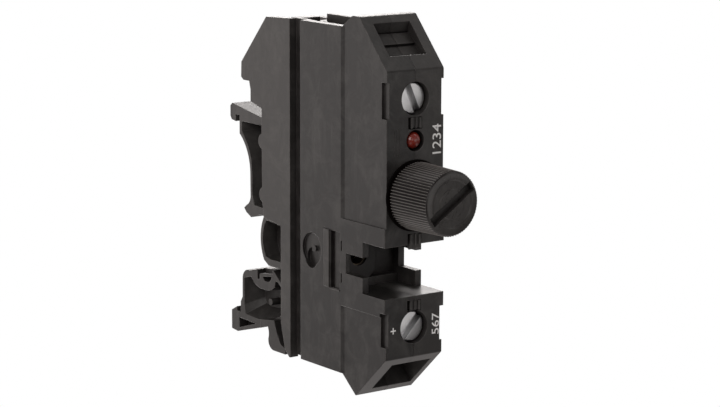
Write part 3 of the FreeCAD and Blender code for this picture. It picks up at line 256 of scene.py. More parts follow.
def rib_crest_group():
    """Over a ribbed skirt round an axis along Y: Crest is 0 in the valleys and 1 on the crests and off the
    skirt, for painted shade in the valleys, and Crest Highlight is strongest on the very crests, for a
    painted highlight that is partly polish."""
    tree, given, result = new_group(
        "rib_crest", {"Centre X": 0.0, "Centre Z": 0.0, "Front Y": 0.0, "Front Radius": CAP_FRONT_RADIUS,
                      "Spread": 0.03, "Depth": CAP_RIB_DEPTH},
        {"Crest": "NodeSocketFloat", "Crest Highlight": "NodeSocketFloat"})
    parts = object_place(tree)[1]
    reach = maths(tree, "SQRT", square_of_reach(tree, *steps_from_axis(tree, parts, given)))
    behind = maths(tree, "SUBTRACT", parts["Y"], given.outputs["Front Y"])
    outside = add(tree, "ShaderNodeMath", {0: behind, 1: given.outputs["Spread"],
                                           2: given.outputs["Front Radius"]}, operation="MULTIPLY_ADD")
    sunk = maths(tree, "DIVIDE", maths(tree, "SUBTRACT", outside.outputs[0], reach), given.outputs["Depth"])
    crest = remap(tree, sunk, 0.75, 0.1)
    face = maths(tree, "GREATER_THAN", sunk, 1.3)
    top = remap(tree, sunk, 0.35, 0.0)
    put_out(tree, result, {"Crest": maths(tree, "MAXIMUM", crest, face),
                           "Crest Highlight": maths(tree, "MULTIPLY", top, 0.8)})
    return tree


SOFT_EDGES = soft_edges_group()
HOLLOW_SHADE = hollow_shade_group()
MOULDED_GRAIN = moulded_grain_group()
TURNED_LINES = turned_lines_group()
SHELL_SEAM = shell_seam_group()
SCREW_THREAD = screw_thread_group()
RIB_CREST = rib_crest_group()


def placed(tree, group, values):
    return add(tree, "ShaderNodeGroup", values, node_tree=group)


def new_material(name, plain):
    """Material with only a Principled shader, whose constant sockets are set directly."""
    material = bpy.data.materials.new(name)
    material.use_nodes = True
    shader = material.node_tree.nodes["Principled BSDF"]
    for socket, value in plain.items():
        shader.inputs[socket].default_value = value
    return material, material.node_tree, shader


# ---- materials -----------------------------------------------------------------
def darkened(tree, colour, mask, amount):
    """Colour that goes towards a warm near-black where the mask is 0: painted shade in hollows and rib
    valleys, and the dark seam line.
    """
    return blend_colours(tree, ramp(tree, mask, amount, 0.0), colour, NEAR_BLACK)


def gleaming(rubbed, gleam):
    return tuple(gleam * part for part in rubbed)


def moulded_plastic(name, colour, rubbed, roughness, grain_depth=0.003 * MM, grain_size=0.16 * MM,
                    edge_radius=0.16 * MM, scuffs=0.5, seam=False, ribs=None,
                    hollow=(5.0 * MM, 0.1, 0.7), paler_stretches=(), refraction=1.5):
    """Matt moulding: eroded grain, cloudy scuffs, worn outer edges with a painted highlight, painted shade in
    hollows, a seam or cap ribs with painted highlight and shade.

    Hollow gives how far a pocket is felt, and how open a place is where it counts as shut and as free, for
    the painted shade and the dulling of hollows.
    Each paler stretch is the middle and half length of a stretch of depth, and how
    much paler the colour is there.
    """
    material, tree, shader = new_material(name, {"IOR": refraction})
    edges = placed(tree, SOFT_EDGES, {"Radius": edge_radius})
    hollows = placed(tree, HOLLOW_SHADE, dict(zip(("Distance", "Shut", "Free"), hollow)))
    grain = placed(tree, MOULDED_GRAIN, {"Grain Size": grain_size, "Grain Depth": grain_depth,
                                         "Normal": edges.outputs["Normal"]})
    clouds = remap(tree, grain.outputs["Mottle"], 0.45, 0.72, high=scuffs)
    rubs = remap(tree, grain.outputs["Streaks"], 0.52, 0.74, high=scuffs * 0.6)
    scuffed = maths(tree, "ADD", clouds, rubs, clamp=True)
    # paler across each listed stretch of depth
    for area_middle, area_half, share in paler_stretches:
        depth = object_place(tree)[1]["Y"]
        away = maths(tree, "ABSOLUTE", maths(tree, "SUBTRACT", depth, area_middle), 0.0)
        paler = remap(tree, away, area_half - 0.9 * MM, area_half + 0.2 * MM, share, 0.0)
        scuffed = maths(tree, "ADD", scuffed, paler, clamp=True)
    surface_colour = blend_colours(tree, scuffed, colour, rubbed)
    outer = maths(tree, "MULTIPLY", edges.outputs["Edge"], hollows.outputs["Near Open"])
    # edge wear, made brighter than wear alone: partly a painted highlight along outer edges
    wear_and_highlight = maths(tree, "MULTIPLY", outer, ramp(tree, grain.outputs["Streaks"], -0.5, 1.3), clamp=True)
    surface_colour = blend_colours(tree, wear_and_highlight, surface_colour, gleaming(rubbed, EDGE_GLEAM))
    # painted shade: towards near-black in inner corners, then in pockets
    surface_colour = darkened(tree, surface_colour, hollows.outputs["Near Open"], 0.65)
    surface_colour = darkened(tree, surface_colour, hollows.outputs["Open"], 0.8)
    normal = grain.outputs["Normal"]
    if seam:
        line = placed(tree, SHELL_SEAM, {"Half Width": 0.08 * MM}).outputs["Seam"]
        surface_colour = darkened(tree, surface_colour, maths(tree, "SUBTRACT", 1.0, line), 0.8)
        normal = relief(tree, line, 0.03 * MM, normal, invert=True)
    if ribs:
        crest = placed(tree, RIB_CREST, ribs)
        # painted highlight on the rib crests, partly polish, and painted shade in the rib valleys
        surface_colour = blend_colours(tree, crest.outputs["Crest Highlight"], surface_colour, gleaming(rubbed, CREST_GLEAM))
        surface_colour = darkened(tree, surface_colour, crest.outputs["Crest"], 0.8)
    tree.links.new(surface_colour, shader.inputs["Base Color"])
    smooth = ramp(tree, grain.outputs["Mottle"], roughness - 0.1, roughness + 0.12)
    dull = add(tree, "ShaderNodeMix", {"Factor": hollows.outputs["Open"], "A": 0.95, "B": smooth},
               data_type="FLOAT")
    tree.links.new(dull.outputs["Result"], shader.inputs["Roughness"])
    tree.links.new(normal, shader.inputs["Normal"])
    return material


def plated_metal(name, colour, stained, roughness, centre=(0.0, 0.0), line_depth=0.003 * MM,
                 line_spacing=0.12 * MM, edge_radius=0.08 * MM, thread=None, crown=None):
    """Plated metal with lathe rings round an axis, slight staining, perhaps a thread or a crowned end."""
    material, tree, shader = new_material(name, {"Metallic": 1.0})
    edges = placed(tree, SOFT_EDGES, {"Radius": edge_radius})
    rings = placed(tree, TURNED_LINES, {"Centre X": centre[0], "Centre Z": centre[1], "Depth": line_depth,
                                        "Ring Spacing": line_spacing, "Normal": edges.outputs["Normal"]})
    tree.links.new(blend_colours(tree, ramp(tree, rings.outputs["Stain"], -0.4, 1.0), colour, stained),
                   shader.inputs["Base Color"])
    tree.links.new(ramp(tree, rings.outputs["Lines"], roughness - 0.08, roughness + 0.16),
                   shader.inputs["Roughness"])
    normal = rings.outputs["Normal"]
    if thread:
        pitch, start, end = thread
        ridge = placed(tree, SCREW_THREAD, {"Centre X": centre[0], "Centre Z": centre[1], "Pitch": pitch,
                                            "From Y": start, "To Y": end})
        normal = relief(tree, ridge.outputs["Height"], pitch, normal)
    if crown:
        height, radius = crown
        fall = maths(tree, "MULTIPLY", rings.outputs["Square Reach"], -1.0 / radius ** 2)
        normal = relief(tree, fall, height, normal)
    tree.links.new(normal, shader.inputs["Normal"])
    return material


def clear_glass():
    material, tree, shader = new_material("fuse_glass", {
        "Base Color": (0.93, 0.97, 0.95, 1.0), "Transmission Weight": 1.0, "IOR": 1.5})
    grain = placed(tree, MOULDED_GRAIN, {"Grain Size": 1.5 * MM, "Grain Depth": 0.004 * MM})
    tree.links.new(ramp(tree, grain.outputs["Mottle"], 0.0, 0.08), shader.inputs["Roughness"])
    return material


def lamp_plastic():
    """Tinted translucent lens."""
    material, tree, shader = new_material("lamp_red", {
        "IOR": 1.55, "Coat Weight": 0.6, "Coat Roughness": 0.3, "Transmission Weight": 0.1,
        "Subsurface Weight": 0.3, "Subsurface Scale": 0.5 * MM})
    grain = placed(tree, MOULDED_GRAIN, {"Grain Size": 0.5 * MM, "Grain Depth": 0.001 * MM})
    tree.links.new(blend_colours(tree, ramp(tree, grain.outputs["Mottle"], 0.0, 1.0),
                                 (0.30, 0.030, 0.018), (0.20, 0.025, 0.016)), shader.inputs["Base Color"])
    tree.links.new(ramp(tree, grain.outputs["Mottle"], 0.1, 0.25), shader.inputs["Roughness"])
    return material


def banded_lacquer():
    """Lacquered resistor with colour bands along its length."""
    material, tree, shader = new_material("resistor_lacquer", {"Coat Weight": 0.3, "Coat Roughness": 0.15})
    low, high = (Vector(corner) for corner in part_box("lamp_resistor"))
    along = remap(tree, object_place(tree)[1]["Y"], low.y, high.y)
    bands = add(tree, "ShaderNodeValToRGB", {"Fac": along})
    bands.color_ramp.interpolation = "CONSTANT"
    body = (0.55, 0.42, 0.24, 1)
    stops = [(0.18, (0.45, 0.22, 0.02, 1)), (0.26, body), (0.38, (0.12, 0.03, 0.2, 1)), (0.46, body),
             (0.56, (0.6, 0.02, 0.01, 1)), (0.64, body), (0.78, (0.5, 0.36, 0.08, 1)), (0.86, body)]
    bands.color_ramp.elements[0].color = body
    bands.color_ramp.elements[1].position, bands.color_ramp.elements[1].color = stops[0]
    for position, colour in stops[1:]:
        bands.color_ramp.elements.new(position).color = colour
    grain = placed(tree, MOULDED_GRAIN, {"Grain Size": 0.6 * MM, "Grain Depth": 0.01 * MM})
    tree.links.new(bands.outputs["Color"], shader.inputs["Base Color"])
    tree.links.new(ramp(tree, grain.outputs["Mottle"], 0.3, 0.5), shader.inputs["Roughness"])
    tree.links.new(grain.outputs["Normal"], shader.inputs["Normal"])
    return material


def print_ink():
    material, tree, shader = new_material("print_ink", {"IOR": 1.45})
    grain = placed(tree, MOULDED_GRAIN, {"Grain Size": 0.1 * MM, "Grain Depth": 0.004 * MM})
    tree.links.new(blend_colours(tree, grain.outputs["Mottle"], (0.97, 0.97, 0.96), (0.88, 0.88, 0.87)),
                   shader.inputs["Base Color"])
    tree.links.new(ramp(tree, grain.outputs["Mottle"], 0.4, 0.6), shader.inputs["Roughness"])
    tree.links.new(grain.outputs["Normal"], shader.inputs["Normal"])
    return material


def centre_of(node):
    low, high = (Vector(corner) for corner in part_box(node))
    return (low + high) / 2


def screw_steel(node):
    """Zinc-plated screw, turned round its own axis, with its thread behind the head."""
    middle, (low, high) = centre_of(node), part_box(node)
    head, tip, crown_height = 1.6 * MM, 0.3 * MM, 0.16 * MM
    return plated_metal("zinc_" + node, (0.73, 0.735, 0.74), (0.50, 0.51, 0.52), 0.30, (middle.x, middle.z),
                        thread=(CLAMP_THREAD_PITCH, low[1] + head, high[1] - tip),
                        crown=(crown_height, (high[0] - low[0]) / 2))


FUSE_LINE = centre_of("fuse_glass")
FUSE_AXIS = (FUSE_LINE.x, FUSE_LINE.z)
CONTACT_FRONT, CONTACT_REAR = (corner[1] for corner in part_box("cap_contact"))
# The two half shells are one black plastic in a darker and a paler copy: painted shade on the left shell and
# painted light on the right one.
HOUSING_LEFT_SHADED = moulded_plastic("housing_black_left_shaded", (0.012, 0.0109, 0.0103), (0.075, 0.0715, 0.068), 0.36,
                               scuffs=0.5, seam=True, hollow=(5.0 * MM, 0.0, 0.5),
                               paler_stretches=((-8.0 * MM, 11.0 * MM, 0.42),))
HOUSING_RIGHT_LIT = moulded_plastic("housing_black_right_lit", (0.028, 0.0259, 0.0245), (0.085, 0.081, 0.077), 0.38,
                                scuffs=0.5, seam=True, hollow=(7.0 * MM, 0.15, 0.75))
CAP_BLACK = moulded_plastic(
    "cap_black", (0.033, 0.0305, 0.0288), (0.12, 0.114, 0.108), 0.28, grain_depth=0.0015 * MM,
    edge_radius=0.03 * MM, scuffs=0.25, hollow=(2.5 * MM, 0.35, 0.9),
    ribs={"Centre X": FUSE_AXIS[0], "Centre Z": FUSE_AXIS[1],
          "Front Y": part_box("fuse_cap")[0][1] + CAP_RIM, "Front Radius": CAP_FRONT_RADIUS,
          "Spread": (CAP_SKIRT_RADIUS - CAP_FRONT_RADIUS) / CAP_SKIRT, "Depth": CAP_RIB_DEPTH})
FOOT_BLACK = moulded_plastic("foot_black", (0.025, 0.0232, 0.022), (0.08, 0.076, 0.072), 0.36)
RUBBED_BLACK = moulded_plastic("housing_black_rubbed", (0.034, 0.032, 0.030), (0.12, 0.115, 0.11), 0.34,
                               edge_radius=0.09 * MM, scuffs=0.7)
# Near-black, dull and barely reflecting: a painted shadow for the ring round the cap.
SHADOW_RING_BLACK = moulded_plastic("shadow_ring_black", (0.0022, 0.0016, 0.0015), (0.006, 0.0052, 0.005), 0.85, scuffs=0.2,
                             refraction=1.14)
INSULATOR = moulded_plastic("insulator_black", (0.009, 0.008, 0.0075), (0.03, 0.028, 0.026), 0.5, scuffs=0.3)
CARRIER = moulded_plastic("carrier_plastic", (0.10, 0.10, 0.095), (0.2, 0.2, 0.19), 0.45)
STEEL = plated_metal("zinc_steel", (0.80, 0.82, 0.84), (0.60, 0.62, 0.64), 0.34, line_depth=0.002 * MM)
COPPER = plated_metal("tinned_copper", (0.80, 0.66, 0.52), (0.62, 0.50, 0.40), 0.32, line_depth=0.001 * MM)
NICKEL = plated_metal("nickel_brass", (0.83, 0.78, 0.68), (0.66, 0.60, 0.50), 0.26, FUSE_AXIS)
# Brass much darker than the nickel-plated brass.
DARK_BRASS = plated_metal("dark_brass", (0.16, 0.13, 0.095), (0.08, 0.065, 0.05), 0.42)
THREADED_NICKEL = plated_metal(
    "threaded_nickel_brass", (0.83, 0.78, 0.68), (0.66, 0.60, 0.50), 0.26, FUSE_AXIS,
    thread=(CAP_THREAD_PITCH, CONTACT_FRONT + 1.5 * MM, CONTACT_REAR - 1.5 * MM))
SPRING = plated_metal("spring_steel", (0.70, 0.70, 0.69), (0.5, 0.49, 0.47), 0.28, line_depth=0.001 * MM)
FUSE_NICKEL = plated_metal("fuse_nickel", (0.86, 0.85, 0.82), (0.70, 0.68, 0.64), 0.2,
                           FUSE_AXIS, line_depth=0.0015 * MM)

NODE_MATERIALS = {
    "left_shell": HOUSING_LEFT_SHADED, "right_shell": HOUSING_RIGHT_LIT, "snap_foot": FOOT_BLACK,
    "upper_clamp_screw": screw_steel("upper_clamp_screw"),
    "lower_clamp_screw": screw_steel("lower_clamp_screw"),
    "upper_clamp_sleeve": STEEL, "lower_clamp_sleeve": STEEL,
    "upper_busbar": COPPER, "lower_busbar": COPPER,
    "bridge_block": INSULATOR, "bridge_nut": DARK_BRASS,
    "fuse_cap": CAP_BLACK, "cap_contact": THREADED_NICKEL, "cap_spring": SPRING, "fuse_carrier": CARRIER,
    "holder_ring": NICKEL, "rear_contact": NICKEL, "rear_spring": SPRING,
    "fuse_glass": clear_glass(), "fuse_end_front": FUSE_NICKEL, "fuse_end_rear": FUSE_NICKEL,
    "fuse_wire": SPRING, "lamp_lens": lamp_plastic(), "lamp_leads": SPRING,
    "lamp_resistor": banded_lacquer(), "resistor_lead": SPRING,
}
INK = print_ink()


def dress(node, material):
    """Give a node of the frame its material."""
    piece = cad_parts[node]
    piece.data.materials.clear()
    piece.data.materials.append(material)


for node, material in NODE_MATERIALS.items():
    dress(node, material)


# ---- new pieces ------------------------------------------------------------------
def let_go():
    bpy.ops.object.select_all(action="DESELECT")


def settle(piece, name, material, body):
    """Apply a new piece's place to its mesh, name it and let it ride."""
    let_go()
    piece.select_set(True)
    bpy.context.view_layer.objects.active = piece
    bpy.ops.object.transform_apply(location=True, rotation=True, scale=True)
    piece.name = name
    piece.data.name = name
    piece.data.materials.clear()
    piece.data.materials.append(material)
    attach(piece, body)


def pick(kind, test):
    """In edit mode, select the vertices or faces of the active piece that pass a test."""
    piece = bpy.context.object
    bpy.ops.mesh.select_mode(type=kind)
    bpy.ops.mesh.select_all(action="DESELECT")
    bpy.ops.object.mode_set(mode="OBJECT")
    group = piece.data.vertices if kind == "VERT" else piece.data.polygons
    for part in group:
        part.select = bool(test(part))
    bpy.ops.object.mode_set(mode="EDIT")


def step_out(rise, scale):
    """Extrude the selected edges along Z and scale the new ring about the Z axis."""
    bpy.ops.mesh.extrude_edges_move(TRANSFORM_OT_translate={"value": (0.0, 0.0, rise)})
    bpy.ops.transform.resize(value=(scale, scale, 1.0), center_override=(0.0, 0.0, 0.0))


def make_round(radius):
    """Put the selected ring of vertices on one radius about the Z axis."""
    piece = bpy.context.object
    bpy.ops.object.mode_set(mode="OBJECT")
    for vertex in piece.data.vertices:
        if vertex.select:
            reach = math.hypot(vertex.co.x, vertex.co.y)
            vertex.co.x, vertex.co.y = vertex.co.x * radius / reach, vertex.co.y * radius / reach
    bpy.ops.object.mode_set(mode="EDIT")


def turned_rings(radii):
    """From the selected ring, one new ring for each (z step, radius), then a closed end."""
    for rise, radius in radii:
        step_out(rise, 1.0)
        make_round(radius)
    bpy.ops.mesh.edge_face_add()
    bpy.ops.mesh.poke()


def face_outwards():
    bpy.ops.mesh.select_all(action="SELECT")
    bpy.ops.mesh.remove_doubles(threshold=0.0005 * MM)
    bpy.ops.mesh.normals_make_consistent(inside=False)
    bpy.ops.object.mode_set(mode="OBJECT")


def stand_along_y(front, x, z):
    """Turn the active piece so that its Z axis runs along Y from a depth."""
    bpy.context.object.rotation_euler = (-math.pi / 2, 0.0, 0.0)
    bpy.context.object.location = (x, front, z)


def ribbed_cap():
    """Screw cap of the fuse holder: ribbed skirt, stepped face, driver slot, hollow neck."""
    low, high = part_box("fuse_cap")
    length = high[1] - low[1]
    hollow_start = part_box("cap_contact")[0][1] - low[1]
    let_go()
    bpy.ops.mesh.primitive_circle_add(vertices=4 * CAP_RIBS, radius=CAP_FRONT_RADIUS, fill_type="NOTHING",
                                      location=(0.0, 0.0, CAP_RIM))
    cap = bpy.context.object
    bpy.ops.object.transform_apply(location=True, rotation=False, scale=False)
    bpy.ops.object.mode_set(mode="EDIT")
    for place, sink in ((1, CAP_RIB_FLANK_DEPTH), (2, CAP_RIB_DEPTH), (3, CAP_RIB_FLANK_DEPTH)):
        pick("VERT", lambda vertex: vertex.index % 4 == place)
        shrink = (CAP_FRONT_RADIUS - sink) / CAP_FRONT_RADIUS
        bpy.ops.transform.resize(value=(shrink, shrink, 1.0), center_override=(0.0, 0.0, 0.0))
    pick("VERT", lambda vertex: True)
    step_out(CAP_SKIRT, CAP_SKIRT_RADIUS / CAP_FRONT_RADIUS)
    turned_rings([(0.0, CAP_NECK_RADIUS), (length - CAP_RIM - CAP_SKIRT, CAP_NECK_RADIUS),
                  (0.0, CAP_CLIP_RADIUS), (hollow_start - length, CAP_CLIP_RADIUS)])
    pick("VERT", lambda vertex: abs(vertex.co.z - CAP_RIM) < 0.001 * MM)
    turned_rings([(-0.1 * MM, 5.15 * MM), (-0.14 * MM, 5.0 * MM), (-0.06 * MM, 4.75 * MM), (0.0, 3.95 * MM),
                  (0.16 * MM, 3.75 * MM), (0.0, 2.5 * MM), (-0.12 * MM, 2.35 * MM)])
    face_outwards()
    bpy.ops.mesh.primitive_cube_add(size=1.0, location=(0.0, 0.0, 0.0))
    slot = bpy.context.object
    slot.scale = (DRIVER_SLOT_LENGTH, DRIVER_SLOT_WIDTH, 2 * DRIVER_SLOT_DEPTH)
    bpy.ops.object.transform_apply(location=False, rotation=False, scale=True)
    bpy.ops.object.mode_set(mode="EDIT")
    bpy.ops.mesh.select_all(action="SELECT")
    bpy.ops.mesh.bevel(offset=0.08 * MM, segments=2)
    bpy.ops.object.mode_set(mode="OBJECT")
    slot.rotation_euler = (0.0, 0.0, math.radians(DRIVER_SLOT_ANGLE))
    let_go()
    cap.select_set(True)
    bpy.context.view_layer.objects.active = cap
    groove = cap.modifiers.new("driver_slot", "BOOLEAN")
    groove.object, groove.operation, groove.solver = slot, "DIFFERENCE", "EXACT"
    bpy.context.view_layer.update()
    bpy.ops.object.modifier_apply(modifier="driver_slot")
    bpy.data.objects.remove(slot)
    stand_along_y(low[1], *FUSE_AXIS)
    settle(cap, "ribbed_cap", CAP_BLACK, "cap")
    bpy.ops.object.shade_smooth_by_angle(angle=math.radians(28))
    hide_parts("fuse_cap")


def lamp_dome():
    """Smooth tinted lens: a dome, a stem and a flange at its foot."""
    low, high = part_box("lamp_lens")
    middle, radius, flange = centre_of("lamp_lens"), 1.4 * MM, (high[0] - low[0]) / 2
    flange_thickness = 0.4 * MM
    front = low[1] + 0.12 * MM
    let_go()
    bpy.ops.mesh.primitive_uv_sphere_add(segments=48, ring_count=24, radius=radius,
                                         location=(0.0, 0.0, 0.0))
    lens = bpy.context.object
    bpy.ops.object.mode_set(mode="EDIT")
    pick("FACE", lambda face: face.center.z > 0.0)
    bpy.ops.mesh.delete(type="FACE")
    pick("VERT", lambda vertex: abs(vertex.co.z) < 0.001 * MM)
    stem = high[1] - front - radius - flange_thickness
    turned_rings([(stem, radius), (0.0, flange), (flange_thickness, flange)])
    face_outwards()
    stand_along_y(front + radius, middle.x, middle.z)
    settle(lens, "lamp_dome", NODE_MATERIALS["lamp_lens"], "housing")
    bpy.ops.object.shade_smooth_by_angle(angle=math.radians(40))
    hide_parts("lamp_lens")


def printed_marks(name, text, low, high):
    """Marks printed on the front face, reading upwards, that fill the span from low to high (x, z)."""
    let_go()
    bpy.ops.object.text_add(location=(0.0, 0.0, 0.0))
    words = bpy.context.object
    words.data.body = text
    words.data.size = 2.0 * MM
    words.data.extrude = PRINT_THICKNESS / 2
    words.data.offset = 0.012 * MM
    words.data.resolution_u = 4
    bpy.ops.object.convert(target="MESH")
    words = bpy.context.object
    corners = [vertex.co for vertex in words.data.vertices]
    left, right = min(c.x for c in corners), max(c.x for c in corners)
    foot, head = min(c.y for c in corners), max(c.y for c in corners)
    long, tall = (high[1] - low[1]) / (right - left), (high[0] - low[0]) / (head - foot)
    bpy.ops.object.mode_set(mode="EDIT")
    bpy.ops.mesh.select_all(action="SELECT")
    bpy.ops.transform.translate(value=(-left, -head, 0.0))
    bpy.ops.transform.resize(value=(long, tall, 1.0), center_override=(0.0, 0.0, 0.0))
    bpy.ops.object.mode_set(mode="OBJECT")
    words.rotation_euler = (math.pi / 2, -math.pi / 2, 0.0)
    words.location = (low[0], FRONT_FACE, low[1])
    settle(words, name, INK, "housing")


def thin_plate(name, low, high, material, chamfer):
    """Raised plate of the housing with chamfered edges, between two corners."""
    let_go()
    middle = [(a + b) / 2 for a, b in zip(low, high)]
    bpy.ops.mesh.primitive_cube_add(size=1.0, location=middle)
    plate = bpy.context.object
    plate.scale = [b - a for a, b in zip(low, high)]
    bpy.ops.object.transform_apply(location=True, rotation=False, scale=True)
    bpy.ops.object.mode_set(mode="EDIT")
    bpy.ops.mesh.select_all(action="SELECT")
    bpy.ops.mesh.bevel(offset=chamfer, segments=2)
    bpy.ops.object.mode_set(mode="OBJECT")
    settle(plate, name, material, "housing")


def catch_ribs():
    """Small upright ribs on the catches that hold the half shells together."""
    for index, (low, high) in enumerate(((20.5, 22.2), (-9.35, -7.8), (1.5, 3.2))):
        for side, (left, right, proud) in (("right", (0.8, 1.25, 0.12)), ("middle", (0.05, 0.25, 0.05)),
                                           ("left", (-0.86, -0.5, 0.05))):
            thin_plate("catch_rib_%s_%d" % (side, index + 1),
                       (left * MM, FRONT_FACE - proud * MM, low * MM),
                       (right * MM, FRONT_FACE + 0.35 * MM, high * MM), RUBBED_BLACK, 0.5 * proud * MM)


def shadow_ring_round_cap():
    """Thin dull near-black ring round the cap's neck, on the front face: a painted shadow where the gap round
    the cap lies in shade.
    """
    inner, outer, chamfer = 4.97 * MM, 5.84 * MM, 0.06 * MM
    let_go()
    bpy.ops.mesh.primitive_circle_add(vertices=128, radius=outer, fill_type="NOTHING",
                                      location=(0.0, 0.0, 0.0))
    bpy.ops.object.mode_set(mode="EDIT")
    for rise, radius in ((-0.16 * MM, outer), (-chamfer, outer - chamfer), (0.0, inner),
                         (0.22 * MM, inner), (0.0, outer)):
        step_out(rise, 1.0)
        make_round(radius)
    face_outwards()
    stand_along_y(FRONT_FACE, *FUSE_AXIS)
    settle(bpy.context.object, "cap_shadow_ring", SHADOW_RING_BLACK, "housing")
    bpy.ops.object.shade_smooth_by_angle(angle=math.radians(40))


def raised_marks():
    """Low moulded strokes beside the lamp, and the raised bar and lip behind the latch recess."""
    stroke_width = 0.16
    for index, x in enumerate((-4.2, -3.7, -3.2)):
        thin_plate("moulded_stroke_%d" % (index + 1), (x * MM, FRONT_FACE - 0.05 * MM, 16.2 * MM),
                   ((x + stroke_width) * MM, FRONT_FACE + 0.1 * MM, 20.6 * MM), HOUSING_LEFT_SHADED, 0.04 * MM)
    side = CAD_BOX[0][0]
    root = side + 0.3 * MM
    latch_foot = -7.5 * MM
    thin_plate("latch_bar", (side - 0.28 * MM, -30.0 * MM, latch_foot), (root, -28.4 * MM, 2.3 * MM),
               RUBBED_BLACK, 0.14 * MM)
    thin_plate("latch_lip", (side - 0.12 * MM, -32.7 * MM, -7.75 * MM), (root, -29.9 * MM, latch_foot),
               RUBBED_BLACK, 0.06 * MM)


ribbed_cap()
shadow_ring_round_cap()
lamp_dome()
printed_marks("upper_print", "1234", (3.5 * MM, 16.0 * MM), (5.25 * MM, 20.85 * MM))
printed_marks("lower_print", "567", (3.65 * MM, -13.95 * MM), (5.15 * MM, -10.35 * MM))
printed_marks("side_print", "+", (-4.75 * MM, -12.8 * MM), (-3.7 * MM, -11.75 * MM))
raised_marks()
catch_ribs()


# ---- light, floor and camera -------------------------------------------------------
SOFT_BOXES = (   # name, steps from the block's middle in metres, width and height, watts
    ("left_softbox", (-0.42, -0.22, 0.25), (0.30, 0.30), 0.9),
    ("rim_softbox", (0.46, 0.63, 0.15), (0.50, 0.16), 0.9),
    ("front_softbox", (0.10, -0.50, 0.03), (0.10, 0.16), 0.07),
    ("right_softbox", (0.37, -0.46, 0.01), (0.28, 0.14), 0.08),
    ("slope_softbox", (0.35, -0.15, 0.47), (0.26, 0.26), 0.12),
    ("screw_softbox", (0.24, -0.55, -0.11), (0.15, 0.20), 0.10),
    ("back_softbox", (0.33, 0.31, 0.37), (0.25, 0.25), 1.2),
    ("under_softbox", (0.05, 0.40, -0.26), (0.30, 0.30), 0.85),
    ("near_left_softbox", (-0.25, -0.55, 0.15), (0.30, 0.30), 0.15),
)
SOFT_BOX_COLOUR = (1.0, 0.965, 0.945)


def soft_box(name, steps, size, power):
    """Rounded area light that points at the block's middle."""
    lamp = bpy.data.lights.new(name, "AREA")
    lamp.shape = "ELLIPSE"
    lamp.size, lamp.size_y = size
    lamp.energy = power
    lamp.color = SOFT_BOX_COLOUR
    holder = bpy.data.objects.new(name, lamp)
    bpy.context.scene.collection.objects.link(holder)
    place = BLOCK_MIDDLE + Vector(steps)
    holder.location = place
    holder.rotation_euler = (BLOCK_MIDDLE - place).to_track_quat("-Z", "Y").to_euler()
    holder.visible_camera = False


def pale_floor():
    """Floor that looks white and neither lights the object from below nor takes its shadow."""
    let_go()
    bpy.ops.mesh.primitive_plane_add(size=8.0, location=(0.0, 0.0, CAD_BOX[0][2] - 0.05 * MM))
    floor = bpy.context.object
    floor.name = "floor"
    white = new_material("pale_floor", {
        "Base Color": (0.0, 0.0, 0.0, 1.0), "Specular IOR Level": 0.0, "Roughness": 1.0,
        "Emission Color": (1.0, 1.0, 1.0, 1.0), "Emission Strength": 1.0})[0]
    floor.data.materials.append(white)
    floor.visible_diffuse = floor.visible_glossy = floor.visible_shadow = False


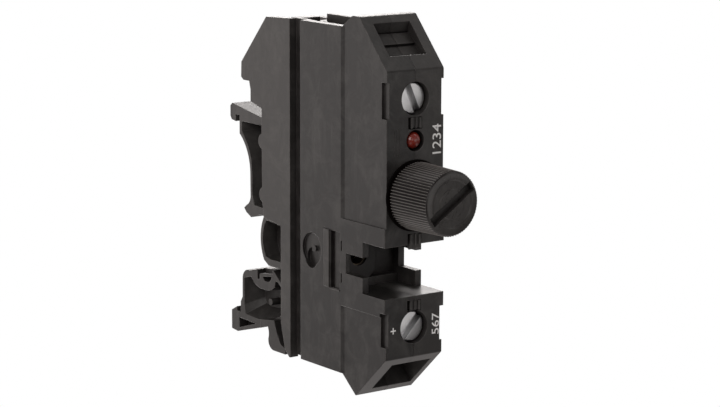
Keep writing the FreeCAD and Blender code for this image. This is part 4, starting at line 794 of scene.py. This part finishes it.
def white_tent():
    """Soft white surroundings: bright behind and to the left, fading to the front, above and below."""
    world = bpy.data.worlds.new("white_tent")
    world.use_nodes = True
    tree = world.node_tree
    tree.nodes.clear()
    direction = add(tree, "ShaderNodeTexCoord").outputs["Generated"]
    parts = add(tree, "ShaderNodeSeparateXYZ", {0: direction})
    back = remap(tree, parts.outputs["Y"], -1.0, 1.0, -0.20, 0.05)
    height = remap(tree, maths(tree, "ADD", parts.outputs["Z"], back), -1.0, 1.0)
    bands = add(tree, "ShaderNodeValToRGB", {"Fac": height})
    bands.color_ramp.interpolation = "EASE"
    stops = bands.color_ramp.elements
    stops[0].position, stops[0].color = 0.14, (1.0, 1.0, 1.0, 1.0)
    stops[1].position, stops[1].color = 0.90, (0.35, 0.35, 0.35, 1.0)
    for place, level in ((0.22, 0.1), (0.30, 0.06), (0.36, 0.25), (0.44, 1.0), (0.55, 0.95), (0.70, 0.45)):
        stops.new(place).color = (level, level, level, 1.0)
    bright_side, dim_side = (-0.55, 0.80, 0.0), (-0.58, -0.79, 0.18)
    facing_bright, facing_dim = (
        add(tree, "ShaderNodeVectorMath", {0: direction, 1: side}, operation="DOT_PRODUCT").outputs["Value"]
        for side in (bright_side, dim_side))
    bright = remap(tree, facing_bright, -1.0, 0.6, 0.32, 1.15)
    dim = remap(tree, facing_dim, 0.45, 0.95, 1.0, 0.3, interpolation="SMOOTHSTEP")
    level = maths(tree, "MULTIPLY", bands.outputs["Color"], maths(tree, "MULTIPLY", bright, dim))
    seen = add(tree, "ShaderNodeLightPath").outputs["Is Camera Ray"]
    soft = add(tree, "ShaderNodeBackground", {"Color": (1.0, 0.94, 0.92, 1.0), "Strength": level})
    plain = add(tree, "ShaderNodeBackground", {"Color": (1.0, 1.0, 1.0, 1.0), "Strength": 1.0})
    both = add(tree, "ShaderNodeMixShader", {0: seen, 1: soft.outputs[0], 2: plain.outputs[0]})
    add(tree, "ShaderNodeOutputWorld", {"Surface": both.outputs[0]})
    bpy.context.scene.world = world


def studio_light():
    white_tent()
    for name, steps, size, power in SOFT_BOXES:
        soft_box(name, steps, size, power)


def aim_camera():
    """Long lens from the front left, a little above."""
    azimuth, elevation, roll = (math.radians(angle) for angle in (-36.11, 10.46, -0.14))
    distance = 387.1 * MM
    target = BLOCK_MIDDLE + Vector((-2.178, -7.146, -0.09)) * MM
    back = Vector((math.sin(azimuth) * math.cos(elevation), -math.cos(azimuth) * math.cos(elevation),
                   math.sin(elevation)))
    lens = bpy.data.cameras.new("camera")
    lens.sensor_width = 36.0
    lens.lens = 117.55
    lens.clip_start = 0.01
    camera = bpy.data.objects.new("camera", lens)
    bpy.context.scene.collection.objects.link(camera)
    camera.location = target + back * distance
    turn = back.to_track_quat("Z", "Y").to_matrix() @ Matrix.Rotation(-roll, 3, "Z")
    camera.rotation_euler = turn.to_euler()
    bpy.context.scene.camera = camera


pale_floor()
studio_light()
aim_camera()
bpy.context.scene.view_settings.view_transform = "Standard"
